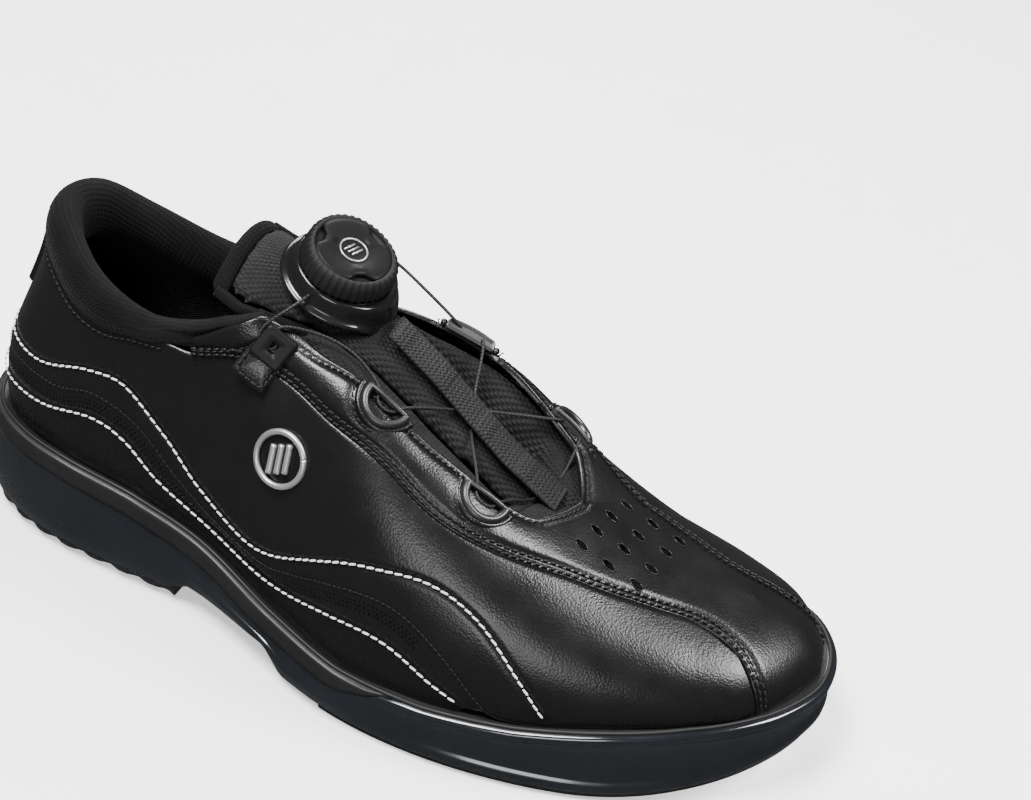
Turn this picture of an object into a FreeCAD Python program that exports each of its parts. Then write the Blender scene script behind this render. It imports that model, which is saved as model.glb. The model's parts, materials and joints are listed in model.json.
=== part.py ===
import FreeCAD, Part
import math
import os
import Sketcher
from FreeCAD import Placement, Rotation, Vector

# Right bowling shoe with a reel-and-lace closure and removable soles.
# +X points to the toe, +Y to the medial side, +Z up; the shoe stands on z = 0.
# Millimetres throughout. The upper is one smooth surface around the foot: `k` runs
# along the edge of the sole (0 heel, 12 toe, 24 heel again, lateral side first) and
# `v` climbs from the sole edge (0) to the collar or the instep crest (1).

SIZES = [
    ("side_shift", 7.68),         # moves the shoe so that its box is centred on Y = 0
    ("side_reach", 200.0),        # length of the cross-wise profile prisms
    ("block_height", 60.0),       # height of the plan-outline prisms
    ("toe_spring", 15.0),
    ("spring_start", 85.0),
    ("toe_x", 152.5),
    ("leather_thick", 1.8),
    ("layer_gap", 0.7),
    ("body_gap", 0.3),
    ("counter_thick", 1.2),
    ("lining_thick", 1.0),
    ("collar_thick", 6.0),
    ("face_thick", 1.6),
    ("pad_thick", 4.4),
    ("loop_thick", 0.8),
    ("hook_thick", 1.0),
    ("tread_thick", 9.0),
    ("tread_groove", 2.4),
    ("tread_pitch", 5.2),
    ("shell_web", 2.0),
    ("shell_wall", 7.0),
    ("arch_bottom", 9.5),
    ("heel_front", -62.0),
    ("pad_rear", -12.0),
    ("pad_radius", 95.0),
    ("window_side", 24.0),
    ("window_thick", 2.0),
    ("shank_width", 16.0),
    ("board_thick", 1.6),
    ("footbed_thick", 4.0),
    ("tongue_width", 28.0),
    ("tongue_thick", 6.0),
    ("tongue_drop", 1.6),         # how far the tongue lies under the instep crest
    ("tongue_taper", 0.7),        # width at the throat, as a share of the full width
    ("tongue_tilt", 0.12),        # its medial edge lies higher, by this slope
    ("tongue_crown", 3.5),        # its edges lie this far under its middle
    ("webbing_width", 9.5),
    ("webbing_thick", 1.0),
    ("webbing_lift", 3.6),
    ("reel_x", -33.0),
    ("reel_y", 4.0),
    ("reel_z", 119.0),
    ("reel_tilt", 20.0),          # reel axis leans this far towards the toe
    ("reel_lean", -7.0),          # and this far towards the lateral side
    ("plate_radius", 19.0),
    ("plate_thick", 1.6),
    ("housing_radius", 15.6),
    ("housing_wall", 1.5),
    ("housing_depth", 6.4),
    ("spool_radius", 11.0),
    ("spool_thick", 4.2),
    ("winding_radius", 8.6),
    ("hub_radius", 5.0),
    ("axle_radius", 2.0),
    ("bush_radius", 3.6),
    ("run_clearance", 0.05),
    ("knob_radius", 14.4),
    ("knob_thick", 7.6),
    ("cap_radius", 12.1),
    ("cap_thick", 1.0),
    ("lobe_count", 6.0),
    ("lobe_radius", 7.0),
    ("lace_radius", 0.55),
        ("guide_radius", 8.5),
        ("guide_thick", 3.6),
    ("guide_slot", 1.8),
    ("clip_length", 11.0),
    ("clip_width", 10.0),
    ("emblem_radius", 9.6),
    ("emblem_thick", 0.8),
]

doc = FreeCAD.newDocument("bowling_shoe")
sheet = doc.addObject("Spreadsheet::Sheet", "Sizes")
for row, (alias, value) in enumerate(SIZES, start=1):
    sheet.set(f"A{row}", alias)
    sheet.set(f"B{row}", str(value))
    sheet.setAlias(f"B{row}", alias)
doc.recompute()


def size(alias):
    """A driving dimension, read back from the sheet."""
    return float(sheet.get(alias))


PARTS = {}


def keep(node, obj):
    """Marks a document object as the sub-part that is written to parts/NODE.step."""
    obj.Label = node
    PARTS[node] = obj
    return obj


# --------------------------------------------------------------------------------------
# Plan outline, ground line and sole-edge line
# --------------------------------------------------------------------------------------

OUTLINE = [
    (-152.5, -1), (-146, -18), (-132, -29), (-112, -35.5), (-85, -38), (-55, -40.5),
    (-25, -51), (5, -61), (35, -64), (65, -61), (95, -52.5), (120, -39.5), (139, -23),
    (150, -5), (152.5, 9), (149, 24), (139, 36.5), (120, 44), (95, 48), (65, 48),
    (35, 43), (5, 35.5), (-25, 30.5), (-55, 30.5), (-85, 34.5), (-112, 35.5),
    (-134, 29), (-147, 15),
]
EDGE_HEIGHT = [(-160, 39.3), (-112, 38.6), (-82, 36.0), (-52, 29.5), (-22, 23.0), (8, 19.6),
               (38, 20.1), (68, 23.1), (95, 27.6), (118, 30.6), (135, 31.6), (160, 32.2)]
BAND_HEIGHT = [(-160, 7), (-100, 7.5), (-60, 8), (-22, 7.5), (8, 7), (40, 2)]
BAND_END = 34                     # x at which the band runs out


def table(points, x):
    """Straight-line value at x of a list of (x, value) points."""
    for (xa, ya), (xb, yb) in zip(points, points[1:]):
        if x <= xb:
            return ya + (yb - ya) * (max(x, xa) - xa) / (xb - xa)
    return points[-1][1]


def ground(x):
    """Height of the walking surface: flat, then the toe spring."""
    run = (x - size("spring_start")) / (size("toe_x") - size("spring_start"))
    return size("toe_spring") * max(run, 0.0) ** 2


def edge_height(x):
    """Height at which the upper meets the sole."""
    return table(EDGE_HEIGHT, x)


def smooth(points, u, closed=False):
    """Catmull-Rom curve through tuples; u counts points."""
    count = len(points)
    i = int(math.floor(u)) if closed else min(max(int(math.floor(u)), 0), count - 2)
    s = u - i

    def at(j):
        if closed:
            return points[j % count]
        if j < 0:
            return tuple(2 * a - b for a, b in zip(points[0], points[1]))
        if j > count - 1:
            return tuple(2 * a - b for a, b in zip(points[-1], points[-2]))
        return points[j]

    rows = zip(at(i - 1), at(i), at(i + 1), at(i + 2))
    return tuple(
        0.5 * (2 * b + (c - a) * s + (2 * a - 5 * b + 4 * c - d) * s * s
               + (3 * b - a - 3 * c + d) * s ** 3)
        for a, b, c, d in rows
    )


def outline_points(inset):
    """The plan outline moved inwards by inset, as vectors at z = 0."""
    points = []
    for i in range(len(OUTLINE)):
        x, y = OUTLINE[i]
        xa, ya = smooth(OUTLINE, i - 0.1, closed=True)
        xb, yb = smooth(OUTLINE, i + 0.1, closed=True)
        tangent = Vector(xb - xa, yb - ya, 0).normalize()
        inward = Vector(-tangent.y, tangent.x, 0)
        points.append(Vector(x, y + size("side_shift"), 0) + inward * inset)
    return points


def plan_prism(name, inset):
    """Upright prism over the plan outline."""
    curve = Part.BSplineCurve()
    curve.interpolate(Points=outline_points(inset), PeriodicFlag=True)
    plan = doc.addObject("Part::Feature", name + "_outline")
    plan.Shape = Part.Face(Part.Wire(curve.toShape()))
    prism = doc.addObject("Part::Extrusion", name + "_prism")
    prism.Base = plan
    prism.DirMode = "Custom"
    prism.Dir = Vector(0, 0, 1)
    prism.Solid = True
    prism.setExpression("LengthFwd", "Sizes.block_height")
    return prism


def side_prism(name, x_low, x_high, lower, upper, width="side_reach", shift=0.0):
    """Cross-wise prism between two height functions of x."""
    count = 25
    xs = [x_low + (x_high - x_low) * i / (count - 1) for i in range(count)]
    low_curve = Part.BSplineCurve()
    low_curve.interpolate(Points=[Vector(x, shift, lower(x)) for x in xs])
    high_curve = Part.BSplineCurve()
    high_curve.interpolate(Points=[Vector(x, shift, upper(x)) for x in xs])
    edges = [
        low_curve.toShape(),
        Part.LineSegment(low_curve.EndPoint, high_curve.EndPoint).toShape(),
        high_curve.toShape(),
        Part.LineSegment(high_curve.StartPoint, low_curve.StartPoint).toShape(),
    ]
    profile = doc.addObject("Part::Feature", name + "_profile")
    profile.Shape = Part.Face(Part.Wire(Part.__sortEdges__(edges)))
    prism = doc.addObject("Part::Extrusion", name + "_side")
    prism.Base = profile
    prism.DirMode = "Custom"
    prism.Dir = Vector(0, 1, 0)
    prism.Solid = True
    prism.Symmetric = True
    prism.setExpression("LengthFwd", f"Sizes.{width}")
    return prism


def common(name, *shapes):
    both = doc.addObject("Part::MultiCommon", name)
    both.Shapes = list(shapes)
    return both


def cut(name, base, tool):
    result = doc.addObject("Part::Cut", name)
    result.Base = base
    result.Tool = tool
    return result


# --------------------------------------------------------------------------------------
# Sole
# --------------------------------------------------------------------------------------

PAD_TOP = size("pad_thick") + size("loop_thick")
HOOK_LOW = PAD_TOP + size("body_gap")
SHELL_LOW = HOOK_LOW + size("hook_thick") + 0.1
HEEL_TOP = size("tread_thick") + size("loop_thick")
CUP_LOW = HEEL_TOP + size("body_gap") + size("hook_thick") + 0.1


def shell_bottom(x):
    """Underside of the outsole shell: heel seat, raised arch, forefoot seat."""
    front = size("pad_rear")
    heel = size("heel_front")
    arch = size("arch_bottom")
    if x >= front:
        return ground(x) + SHELL_LOW
    return table([(heel - 1, CUP_LOW), (heel + 6, arch), (front - 6, arch),
                  (front, SHELL_LOW)], x)


def band_low(x):
    """Lower edge of the grey band, which tapers to nothing in the forefoot."""
    return edge_height(x) - table(BAND_HEIGHT, x)


def sole_parts():
    rear, front = -size("toe_x") - 5, size("toe_x") + 5
    full = plan_prism("full", 0.0)
    cavity = common("core_space", plan_prism("cavity", size("shell_wall")),
                    side_prism("cavity", rear, front,
                               lambda x: shell_bottom(x) + size("shell_web"),
                               lambda x: edge_height(x) + 6))
    shell = common("shell_block", full,
                   side_prism("shell", rear, front, shell_bottom,
                              lambda x: edge_height(x) - 0.1))
    shell = cut("shell_tray", shell, cavity)
    shell = cut("shell_step", shell,
                side_prism("step", rear, BAND_END + 0.3, lambda x: band_low(x) - 0.3,
                           lambda x: edge_height(x) + 6))

    side = size("window_side") + 0.5
    pocket = doc.addObject("Part::Box", "window_pocket")
    pocket.setExpression("Length", "Sizes.window_side + 0.5")
    pocket.setExpression("Width", "Sizes.window_side + 0.5")
    pocket.Height = 30
    middle = Vector(-34, -3 + size("side_shift"), 0)
    pocket.Placement.Base = middle - Vector(side / 2, side / 2, 0)
    keep("outsole_shell", cut("outsole_cut", shell, pocket))
    window = doc.addObject("Part::Box", "window_block")
    window.setExpression("Length", "Sizes.window_side")
    window.setExpression("Width", "Sizes.window_side")
    window.setExpression("Height", "Sizes.window_thick")
    corner = Vector(size("window_side") / 2, size("window_side") / 2, 0)
    window.Placement.Base = middle - corner + Vector(0, 0, size("arch_bottom") - 0.6)
    keep("arch_window", window)

    band = common("band_block", full,
                  side_prism("band", rear, BAND_END, band_low,
                             lambda x: edge_height(x) - 0.1))
    keep("midsole_band", cut("band_ring", band, plan_prism("band_hole", size("shell_wall"))))
    keep("midsole_core", common(
        "core_block", plan_prism("core", size("shell_wall") + 0.2),
        side_prism("core", rear, front,
                   lambda x: shell_bottom(x) + size("shell_web") + 0.2,
                   lambda x: edge_height(x) - 0.1)))
    keep("shank", side_prism("shank", -78, 8, lambda x: edge_height(x) + 0.2,
                             lambda x: edge_height(x) + 1.35, "shank_width",
                             size("side_shift") - 4))
    board_low = 1.6
    board_top = board_low + size("board_thick")
    keep("insole_board", common(
        "board_block", plan_prism("board", 13.5),
        side_prism("board", rear, 131, lambda x: edge_height(x) + board_low,
                   lambda x: edge_height(x) + board_top)))
    keep("footbed", common(
        "footbed_block", plan_prism("footbed", 15.0),
        side_prism("footbed", rear, 125, lambda x: edge_height(x) + board_top + 0.2,
                   lambda x: edge_height(x) + board_top + size("footbed_thick"))))


def forefoot_pad():
    """Removable forefoot sole: rimmed carrier, slide face below, hook-and-loop above."""
    rear, front = size("pad_rear") - 30, size("toe_x") + 5
    round_end = doc.addObject("Part::Cylinder", "pad_round")
    round_end.setExpression("Radius", "Sizes.pad_radius")
    round_end.setExpression("Height", "Sizes.block_height")
    centre = Vector(size("pad_rear") + size("pad_radius"), size("side_shift") - 8, 0)
    round_end.Placement.Base = centre
    inner_end = doc.addObject("Part::Cylinder", "face_round")
    inner_end.setExpression("Radius", "Sizes.pad_radius - 4")
    inner_end.setExpression("Height", "Sizes.block_height")
    inner_end.Placement.Base = centre
    pocket_end = doc.addObject("Part::Cylinder", "pocket_round")
    pocket_end.setExpression("Radius", "Sizes.pad_radius - 3.8")
    pocket_end.setExpression("Height", "Sizes.block_height")
    pocket_end.Placement.Base = centre
    plan = plan_prism("pad", 1.6)
    block = common("pad_block", plan, round_end,
                   side_prism("pad", rear, front, ground,
                              lambda x: ground(x) + size("pad_thick") - 0.1))
    pocket = common("face_pocket", plan_prism("face_pocket", 5.3), pocket_end,
                    side_prism("face_pocket", rear, front, lambda x: ground(x) - 2,
                               lambda x: ground(x) + size("face_thick") + 0.1))
    keep("slide_pad_carrier", cut("carrier_cut", block, pocket))
    keep("slide_face", common(
        "face_block", plan_prism("face", 5.5), inner_end,
        side_prism("face", rear, front, ground,
                   lambda x: ground(x) + size("face_thick"))))
    keep("slide_pad_loop", common(
        "loop_block", plan_prism("loop", 3.0), inner_end,
        side_prism("loop", rear, front, lambda x: ground(x) + size("pad_thick"),
                   lambda x: ground(x) + PAD_TOP)))
    keep("forefoot_hook_panel", common(
        "hook_block", plan_prism("hook", 3.0), inner_end,
        side_prism("hook", rear, front, lambda x: ground(x) + HOOK_LOW,
                   lambda x: ground(x) + HOOK_LOW + size("hook_thick"))))


def heel_pad():
    """Removable heel: rubber tread with cross ribs, hook-and-loop above."""
    rear, front = -size("toe_x") - 5, size("heel_front")
    tread = common("tread_block", plan_prism("tread", 1.6),
                   side_prism("tread", rear, front, lambda x: 0.0,
                              lambda x: size("tread_thick") - 0.1))
    grooves = []
    zones = [(-144.0, 5), (-113.0, 4), (-87.0, 4)]
    for zone, (start, count) in enumerate(zones):
        for i in range(count):
            groove = doc.addObject("Part::Box", f"groove_{zone}_{i}")
            groove.Length = 2.0
            groove.Width = 120
            groove.setExpression("Height", "Sizes.tread_groove")
            turn = Rotation(Vector(0, 0, 1), -12)
            place = Vector(start + i * size("tread_pitch"), size("side_shift"), 0)
            groove.Placement = Placement(place + turn.multVec(Vector(0, -60, 0)), turn)
            grooves.append(groove)
    ribs = doc.addObject("Part::MultiFuse", "tread_grooves")
    ribs.Shapes = grooves
    keep("heel_tread", cut("tread_cut", tread, ribs))
    keep("heel_loop", common(
        "heel_loop_block", plan_prism("heel_loop", 3.0),
        side_prism("heel_loop", rear, front - 7, lambda x: size("tread_thick"),
                   lambda x: HEEL_TOP)))
    keep("heel_hook_panel", common(
        "heel_hook_block", plan_prism("heel_hook", 3.0),
        side_prism("heel_hook", rear, front - 7, lambda x: HEEL_TOP + size("body_gap"),
                   lambda x: HEEL_TOP + size("body_gap") + size("hook_thick"))))


# --------------------------------------------------------------------------------------
# Upper
# --------------------------------------------------------------------------------------

# One row per station: sole edge point, top point, then how the rib between them is
# shaped: rise (share of height gone straight up), swell (outwards), reach (top end,
# towards the edge), drop (share of height lost at the top end), slope of the crest.
LATERAL = [
    ((-147, -1, 39.5), (-132, 0, 119), (0.38, 4, 0.0, 0.40, 0.0)),
    ((-138, -20, 39.5), (-126, -15, 117), (0.38, 4, 0.0, 0.40, 0.0)),
    ((-112, -30.5, 39), (-110, -25, 107), (0.38, 4, 0.0, 0.40, 0.0)),
    ((-82, -33.5, 36.5), (-88, -29, 100), (0.40, 4, 0.0, 0.40, 0.0)),
    ((-52, -36.5, 30), (-64, -29, 101), (0.42, 4, 0.1, 0.35, 0.0)),
    ((-22, -47, 23.5), (-44, -23, 108), (0.45, 3, 0.3, 0.20, -0.2)),
    ((8, -57, 20), (-28, -3, 115), (0.50, 2, 0.5, 0.02, -0.45)),
    ((38, -59, 20.5), (4, -3, 99), (0.52, 2, 0.55, 0.0, -0.52)),
    ((68, -55.5, 23.5), (33, -1, 82), (0.55, 2, 0.55, 0.0, -0.50)),
    ((95, -47, 28), (60, 1, 69), (0.55, 2, 0.55, 0.0, -0.42)),
    ((118, -35.5, 31), (84, 4, 60), (0.55, 2, 0.55, 0.0, -0.32)),
    ((135, -20.5, 32), (104, 6, 55), (0.55, 2, 0.55, 0.0, -0.27)),
]
TOE = ((146, 8, 32.5), (120, 8, 51), (0.55, 2, 0.55, 0.0, -0.30))
MEDIAL_EDGE = [(-139, 18, 39.5), (-112, 30.5, 39), (-82, 29.5, 36.5), (-52, 26, 30),
               (-22, 26, 23.7), (8, 31, 20.4), (38, 38.5, 20.7), (68, 43, 23.7),
               (95, 43.5, 28), (118, 39.5, 31), (136, 30, 32)]
MEDIAL_TOP = [(-126, 15, 117), (-110, 26, 107), (-88, 29, 101), (-64, 26, 102),
              (-44, 19, 111), (-28, 7, 121), (4, 8, 110), (33, 4, 88)]
MEDIAL_TOP += [row[1] for row in LATERAL[9:]]
LOOP = LATERAL + [TOE] + [
    (edge, top, row[2])
    for edge, top, row in reversed(list(zip(MEDIAL_EDGE, MEDIAL_TOP, LATERAL[1:])))
]
STATIONS = len(LOOP)
TOE_K = len(LATERAL)
CREST_K = 8.99                    # from here to the toe the two sides meet at the crest


def top_point(k):
    """Upper end of a rib; ahead of CREST_K both sides use the lateral one."""
    if TOE_K < k <= STATIONS - CREST_K:
        k = STATIONS - k
    return Vector(*smooth([row[1] for row in LOOP], k, closed=True))


def upper_point(k, v):
    """Point of the upper's outer surface."""
    edge = Vector(*smooth([row[0] for row in LOOP], k, closed=True))
    top = top_point(k)
    rise, swell, reach, drop, slope = smooth([row[2] for row in LOOP], k, closed=True)
    ahead = Vector(*smooth([row[0] for row in LOOP], k + 0.05, closed=True))
    behind = Vector(*smooth([row[0] for row in LOOP], k - 0.05, closed=True))
    along = ahead - behind
    outward = Vector(along.y, -along.x, 0).normalize()
    height = top.z - edge.z
    across = Vector(edge.x - top.x, edge.y - top.y, 0)
    low = edge + Vector(0, 0, rise * height) + outward * swell
    high = top + across * reach + Vector(0, 0, reach * across.x * slope - drop * height)
    w = 1 - v
    point = edge * w ** 3 + low * (3 * w * w * v) + high * (3 * w * v * v) + top * v ** 3
    return point + Vector(0, size("side_shift"), 0)


def side_normal(k, v):
    """Outward normal taken from one side's surface alone."""
    v = min(max(v, 0.01), 0.985)
    along = upper_point(k + 0.02, v) - upper_point(k - 0.02, v)
    up = upper_point(k, v + 0.01) - upper_point(k, v - 0.01)
    return along.cross(up).normalize()


def upper_normal(k, v):
    """Outward normal at (k, v); both sides agree on it along the crest."""
    normal = side_normal(k, v)
    if v > 0.9 and CREST_K <= k <= STATIONS - CREST_K:
        share = (v - 0.9) / 0.1
        other = side_normal(STATIONS - k, v)
        normal = (normal * (1 - share / 2) + other * (share / 2)).normalize()
    return normal


def offset_point(k, v, offset):
    return upper_point(k, v) + upper_normal(k, v) * offset


def knot_vector(count, degree):
    spans = count - degree
    knots = [i / spans for i in range(spans + 1)]
    return knots, [degree + 1] + [1] * (spans - 1) + [degree + 1]


def greville(count, degree):
    """Parameters that a clamped, evenly knotted spline gives its control points."""
    knots, times = knot_vector(count, degree)
    flat = [k for k, n in zip(knots, times) for _ in range(n)]
    return [sum(flat[i + 1:i + degree + 1]) / degree for i in range(count)]


def net_surface(net):
    """B-spline face whose control net is the given rows of points."""
    u_degree = min(3, len(net) - 1)
    v_degree = min(3, len(net[0]) - 1)
    u_knots, u_times = knot_vector(len(net), u_degree)
    v_knots, v_times = knot_vector(len(net[0]), v_degree)
    surface = Part.BSplineSurface()
    surface.buildFromPolesMultsKnots(net, u_times, v_times, u_knots, v_knots,
                                     False, False, u_degree, v_degree)
    return surface.toShape()


def path(points, straight=False):
    """A route in (k, v), as a function of a share from 0 to 1."""
    def at(share):
        u = share * (len(points) - 1)
        if not straight:
            return smooth(points, u)
        i = min(int(u), len(points) - 2)
        return tuple(a + (b - a) * (u - i) for a, b in zip(points[i], points[i + 1]))
    return at


def mirrored(points):
    """The same route on the medial side."""
    return [(STATIONS - k, v) for k, v in points]


def patch_net(low, high, along, across, offset):
    rows = []
    for s in greville(along, 3):
        ka, va = low(s)
        kb, vb = high(s)
        rows.append([
            offset_point(ka + (kb - ka) * w, va + (vb - va) * w, offset)
            for w in greville(across, 3)
        ])
    return rows


def closed_solid(nets):
    """Closed solid from (outside net, inside net, joined sides).

    A joined side ("start", "end" or "high") is shared with the next patch and gets no
    wall; every other side is closed by a wall between the outer and inner skins.
    """
    faces = []
    for outside, inside, joined in nets:
        faces += [net_surface(outside), net_surface(inside)]
        sides = {
            "start": (outside[0], inside[0]),
            "end": (outside[-1], inside[-1]),
            "low": ([r[0] for r in outside], [r[0] for r in inside]),
            "high": ([r[-1] for r in outside], [r[-1] for r in inside]),
        }
        faces += [net_surface(list(pair)) for name, pair in sides.items()
                  if name not in joined]
    shell = Part.makeShell(faces)
    shell.sewShape(0.01)
    solid = Part.makeSolid(Part.Shell(shell.Faces))
    if solid.Volume < 0:
        solid.reverse()
    return solid


def skin(node, patches, outer, inner, along=26, across=8):
    """Layer of the upper between two offsets, from patches (low, high, joined sides)."""
    nets = [
        (patch_net(low, high, along, across, outer),
         patch_net(low, high, along, across, inner), joined)
        for low, high, joined in patches
    ]
    feature = doc.addObject("Part::Feature", node + "_skin")
    feature.Shape = closed_solid(nets)
    keep(node, feature)


LOWER_SEAM = [(0.04, 0.14), (0.9, 0.15), (1.7, 0.18), (2.45, 0.29), (2.9, 0.26),
              (3.3, 0.14), (3.8, 0.08), (4.4, 0.06), (5.0, 0.07), (5.8, 0.11),
              (6.5, 0.12), (7.05, 0.06), (7.4, 0.015)]
BAND_SEAM = [(0.04, 0.27), (0.9, 0.29), (1.85, 0.34), (2.48, 0.45), (3.08, 0.41),
             (3.6, 0.23), (4.1, 0.13), (4.8, 0.12), (5.3, 0.16), (5.85, 0.20),
             (6.58, 0.23), (7.1, 0.17), (7.65, 0.02)]
KNIT_SEAM = [(0.04, 0.84), (0.7, 0.85), (1.4, 0.85), (2.0, 0.83), (2.5, 0.85),
             (3.0, 0.92), (3.5, 0.95)]
VAMP_SEAM = [(3.9, 0.93), (4.5, 0.92), (5.0, 0.84), (5.75, 0.62), (6.5, 0.575),
             (7.1, 0.565), (7.7, 0.60), (8.5, 0.68), (9.0, 0.69)]
TOE_SEAM = [(9.0, 0.69), (9.7, 0.695), (10.4, 0.67), (10.8, 0.52), (10.9, 0.25),
            (10.94, 0.0)]
THROAT = [(3.9, 1.0), (4.5, 1.0), (5.0, 1.0), (5.35, 0.92), (5.8, 0.80), (6.5, 0.77),
          (7.3, 0.77), (8.1, 0.785), (8.5, 0.86), (9.0, 1.0)]
MEDIAL_THROAT = [(3.9, 1.0), (4.5, 1.0), (5.0, 1.0), (5.3, 0.88), (5.75, 0.74), (6.5, 0.715),
                 (7.3, 0.74), (8.1, 0.78), (8.5, 0.86), (9.0, 1.0)]
CREST = [(9.0, 1.0), (9.8, 1.0), (10.6, 1.0), (11.4, 1.0), (TOE_K, 1.0), (TOE_K, 0.6),
         (TOE_K, 0.3), (TOE_K, 0.0)]
MEDIAL_TOE_SEAM = [(9.0, 0.69), (9.7, 0.695), (10.6, 0.69), (11.1, 0.52), (11.4, 0.25),
                   (11.5, 0.0)]


def lifted(points, by):
    """The route moved up the ribs by a share, to leave a gap between two panels."""
    return [(k, v + by) for k, v in points]


def side_panels(side, turn):
    """Foxing, side band and quarter of one side."""
    edge = [(k, 0.0) for k, _ in LOWER_SEAM]
    skin("foxing_" + side, [(path(turn(edge)), path(turn(LOWER_SEAM)), ())],
         0, -size("leather_thick"), across=4)
    skin("side_band_" + side,
         [(path(turn(lifted(LOWER_SEAM, 0.008))), path(turn(BAND_SEAM)), ())],
         0, -size("leather_thick"), across=4)
    toe_seam = MEDIAL_TOE_SEAM if side == "medial" else TOE_SEAM
    low = lifted(BAND_SEAM, 0.008) + [(8.2, 0.0), (8.9, 0.0), (9.6, 0.0),
                                      (toe_seam[3][0] - 0.5, 0.0), (toe_seam[5][0] - 0.08, 0.0)]
    high = KNIT_SEAM + VAMP_SEAM[:-1] + toe_seam[:4]
    high = [(k, v - 0.008) for k, v in high]
    skin("quarter_" + side, [(path(turn(low)), path(turn(high)), ())],
         0, -size("leather_thick"), along=40, across=10)


def same(points):
    return points


def upper_parts():
    leather = size("leather_thick")
    side_panels("lateral", same)
    side_panels("medial", mirrored)

    flap = (path(VAMP_SEAM), path(THROAT), ("end",))
    front = (path(TOE_SEAM), path(CREST, straight=True), ("start", "high"))
    medial_flap = (path(mirrored(VAMP_SEAM)), path(mirrored(MEDIAL_THROAT)), ("end",))
    medial_front = (path(mirrored(MEDIAL_TOE_SEAM)), path(mirrored(CREST), straight=True),
                    ("start", "high"))
    skin("vamp", [flap, front, medial_front, medial_flap], 0, -leather, along=30)

    knit_low = [(0.0, 0.848)] + lifted(KNIT_SEAM[1:], 0.008)
    knit_top = [(0.0, 1.0)] + [(k, 1.0) for k, _ in KNIT_SEAM[1:]]
    skin("heel_collar", [
        (path(knit_low), path(knit_top), ("start",)),
        (path(mirrored(knit_low)), path(mirrored(knit_top)), ("start",)),
    ], 0, -leather, across=5)

    deep = -leather - size("layer_gap")
    pad_low = [(0.0, 0.76), (1.3, 0.76), (2.6, 0.76), (3.9, 0.80), (5.0, 0.84)]
    pad_top = [(0.0, 1.0), (1.3, 1.0), (2.6, 1.0), (3.9, 1.0), (5.0, 1.0)]
    skin("collar_pad", [
        (path(pad_low), path(pad_top), ("start",)),
        (path(mirrored(pad_low)), path(mirrored(pad_top)), ("start",)),
    ], deep, deep - size("collar_thick"), along=18, across=5)

    counter_low = [(0.0, 0.03), (1.3, 0.03), (2.6, 0.03)]
    counter_top = [(0.0, 0.46), (1.3, 0.46), (2.6, 0.38)]
    counter = deep - size("counter_thick")
    skin("heel_counter", [
        (path(counter_low), path(counter_top), ("start",)),
        (path(mirrored(counter_low)), path(mirrored(counter_top)), ("start",)),
    ], deep, counter, along=14, across=5)
    skin("toe_puff", [(path([(10.7, 0.04), (TOE_K, 0.04), (13.3, 0.04)]),
                       path([(10.7, 0.62), (TOE_K, 0.62), (13.3, 0.62)]), ())],
         deep, counter, along=14, across=5)

    lining = counter - size("layer_gap")
    inner = lining - size("lining_thick")
    lining_low = [(k, 0.04) for k in (0.0, 2.0, 4.0, 6.0, 8.8)]
    lining_top = [(k, v) for k, v in zip((0.0, 2.0, 4.0, 6.0, 8.8),
                                         (0.72, 0.72, 0.72, 0.62, 0.58))]
    skin("quarter_lining", [
        (path(lining_low), path(lining_top), ("start",)),
        (path(mirrored(lining_low)), path(mirrored(lining_top)), ("start",)),
    ], lining, inner, along=30, across=6)
    puff_low = [(9.0, 0.04), (10.0, 0.04), (10.8, 0.04), (11.5, 0.04)]
    puff_top = [(9.0, 1.0), (10.5, 1.0), (TOE_K, 1.0), (TOE_K, 0.5), (TOE_K, 0.04)]
    skin("vamp_lining", [
        (path(puff_low), path(puff_top, straight=True), ("high",)),
        (path(mirrored(puff_low)), path(mirrored(puff_top), straight=True), ("high",)),
    ], lining, inner, along=18, across=7)

    tab_low = [(-0.32, 0.58), (0.0, 0.58), (0.32, 0.58)]
    tab_top = [(-0.32, 0.95), (0.0, 0.95), (0.32, 0.95)]
    skin("heel_tab", [(path(tab_low), path(tab_top), ())], 2.2, 0.4, along=5, across=6)


# --------------------------------------------------------------------------------------
# Tongue
# --------------------------------------------------------------------------------------

CREST_LINE = [(-66, 128), (-58, 125.5), (-44, 121.5), (-28, 116.5), (-10, 109), (6, 98.5),
              (19, 88.5), (34, 77), (53, 66)]

TONGUE_MIDDLE = size("side_shift") + 0.5


def crest_height(x, side=0.0):
    """Height of the instep line, side being the distance from the tongue's middle."""
    crown = size("tongue_crown") * (2 * side / size("tongue_width")) ** 2
    return table(CREST_LINE, x) + size("tongue_tilt") * side - crown


def tongue_slab(node, x_low, x_high, width, top, thickness):
    """Slab that follows the instep line and is crowned across; top is over the line."""
    half = size(width) / 2

    def net(level):
        rows = []
        for s in greville(22, 3):
            x = x_low + (x_high - x_low) * s
            taper = table([(10, 1.0), (53, size("tongue_taper"))], x)
            rows.append([])
            for w in greville(7, 3):
                side = (2 * w - 1) * half * taper
                rows[-1].append(Vector(x, TONGUE_MIDDLE + side,
                                       crest_height(x, side) + level))
        return rows

    feature = doc.addObject("Part::Feature", node + "_slab")
    feature.Shape = closed_solid([(net(top), net(top - thickness), ())])
    keep(node, feature)


def tongue_parts():
    top = -size("tongue_drop")
    tongue_slab("tongue_pad", -62, 49, "tongue_width", top, size("tongue_thick"))
    tongue_slab("tongue_binding", -65.8, -62.3, "tongue_width", top, size("tongue_thick"))
    tongue_slab("tongue_webbing", -10, 50, "webbing_width",
                top + size("webbing_lift") + size("webbing_thick"), size("webbing_thick"))


# --------------------------------------------------------------------------------------
# Reel
# --------------------------------------------------------------------------------------

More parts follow.
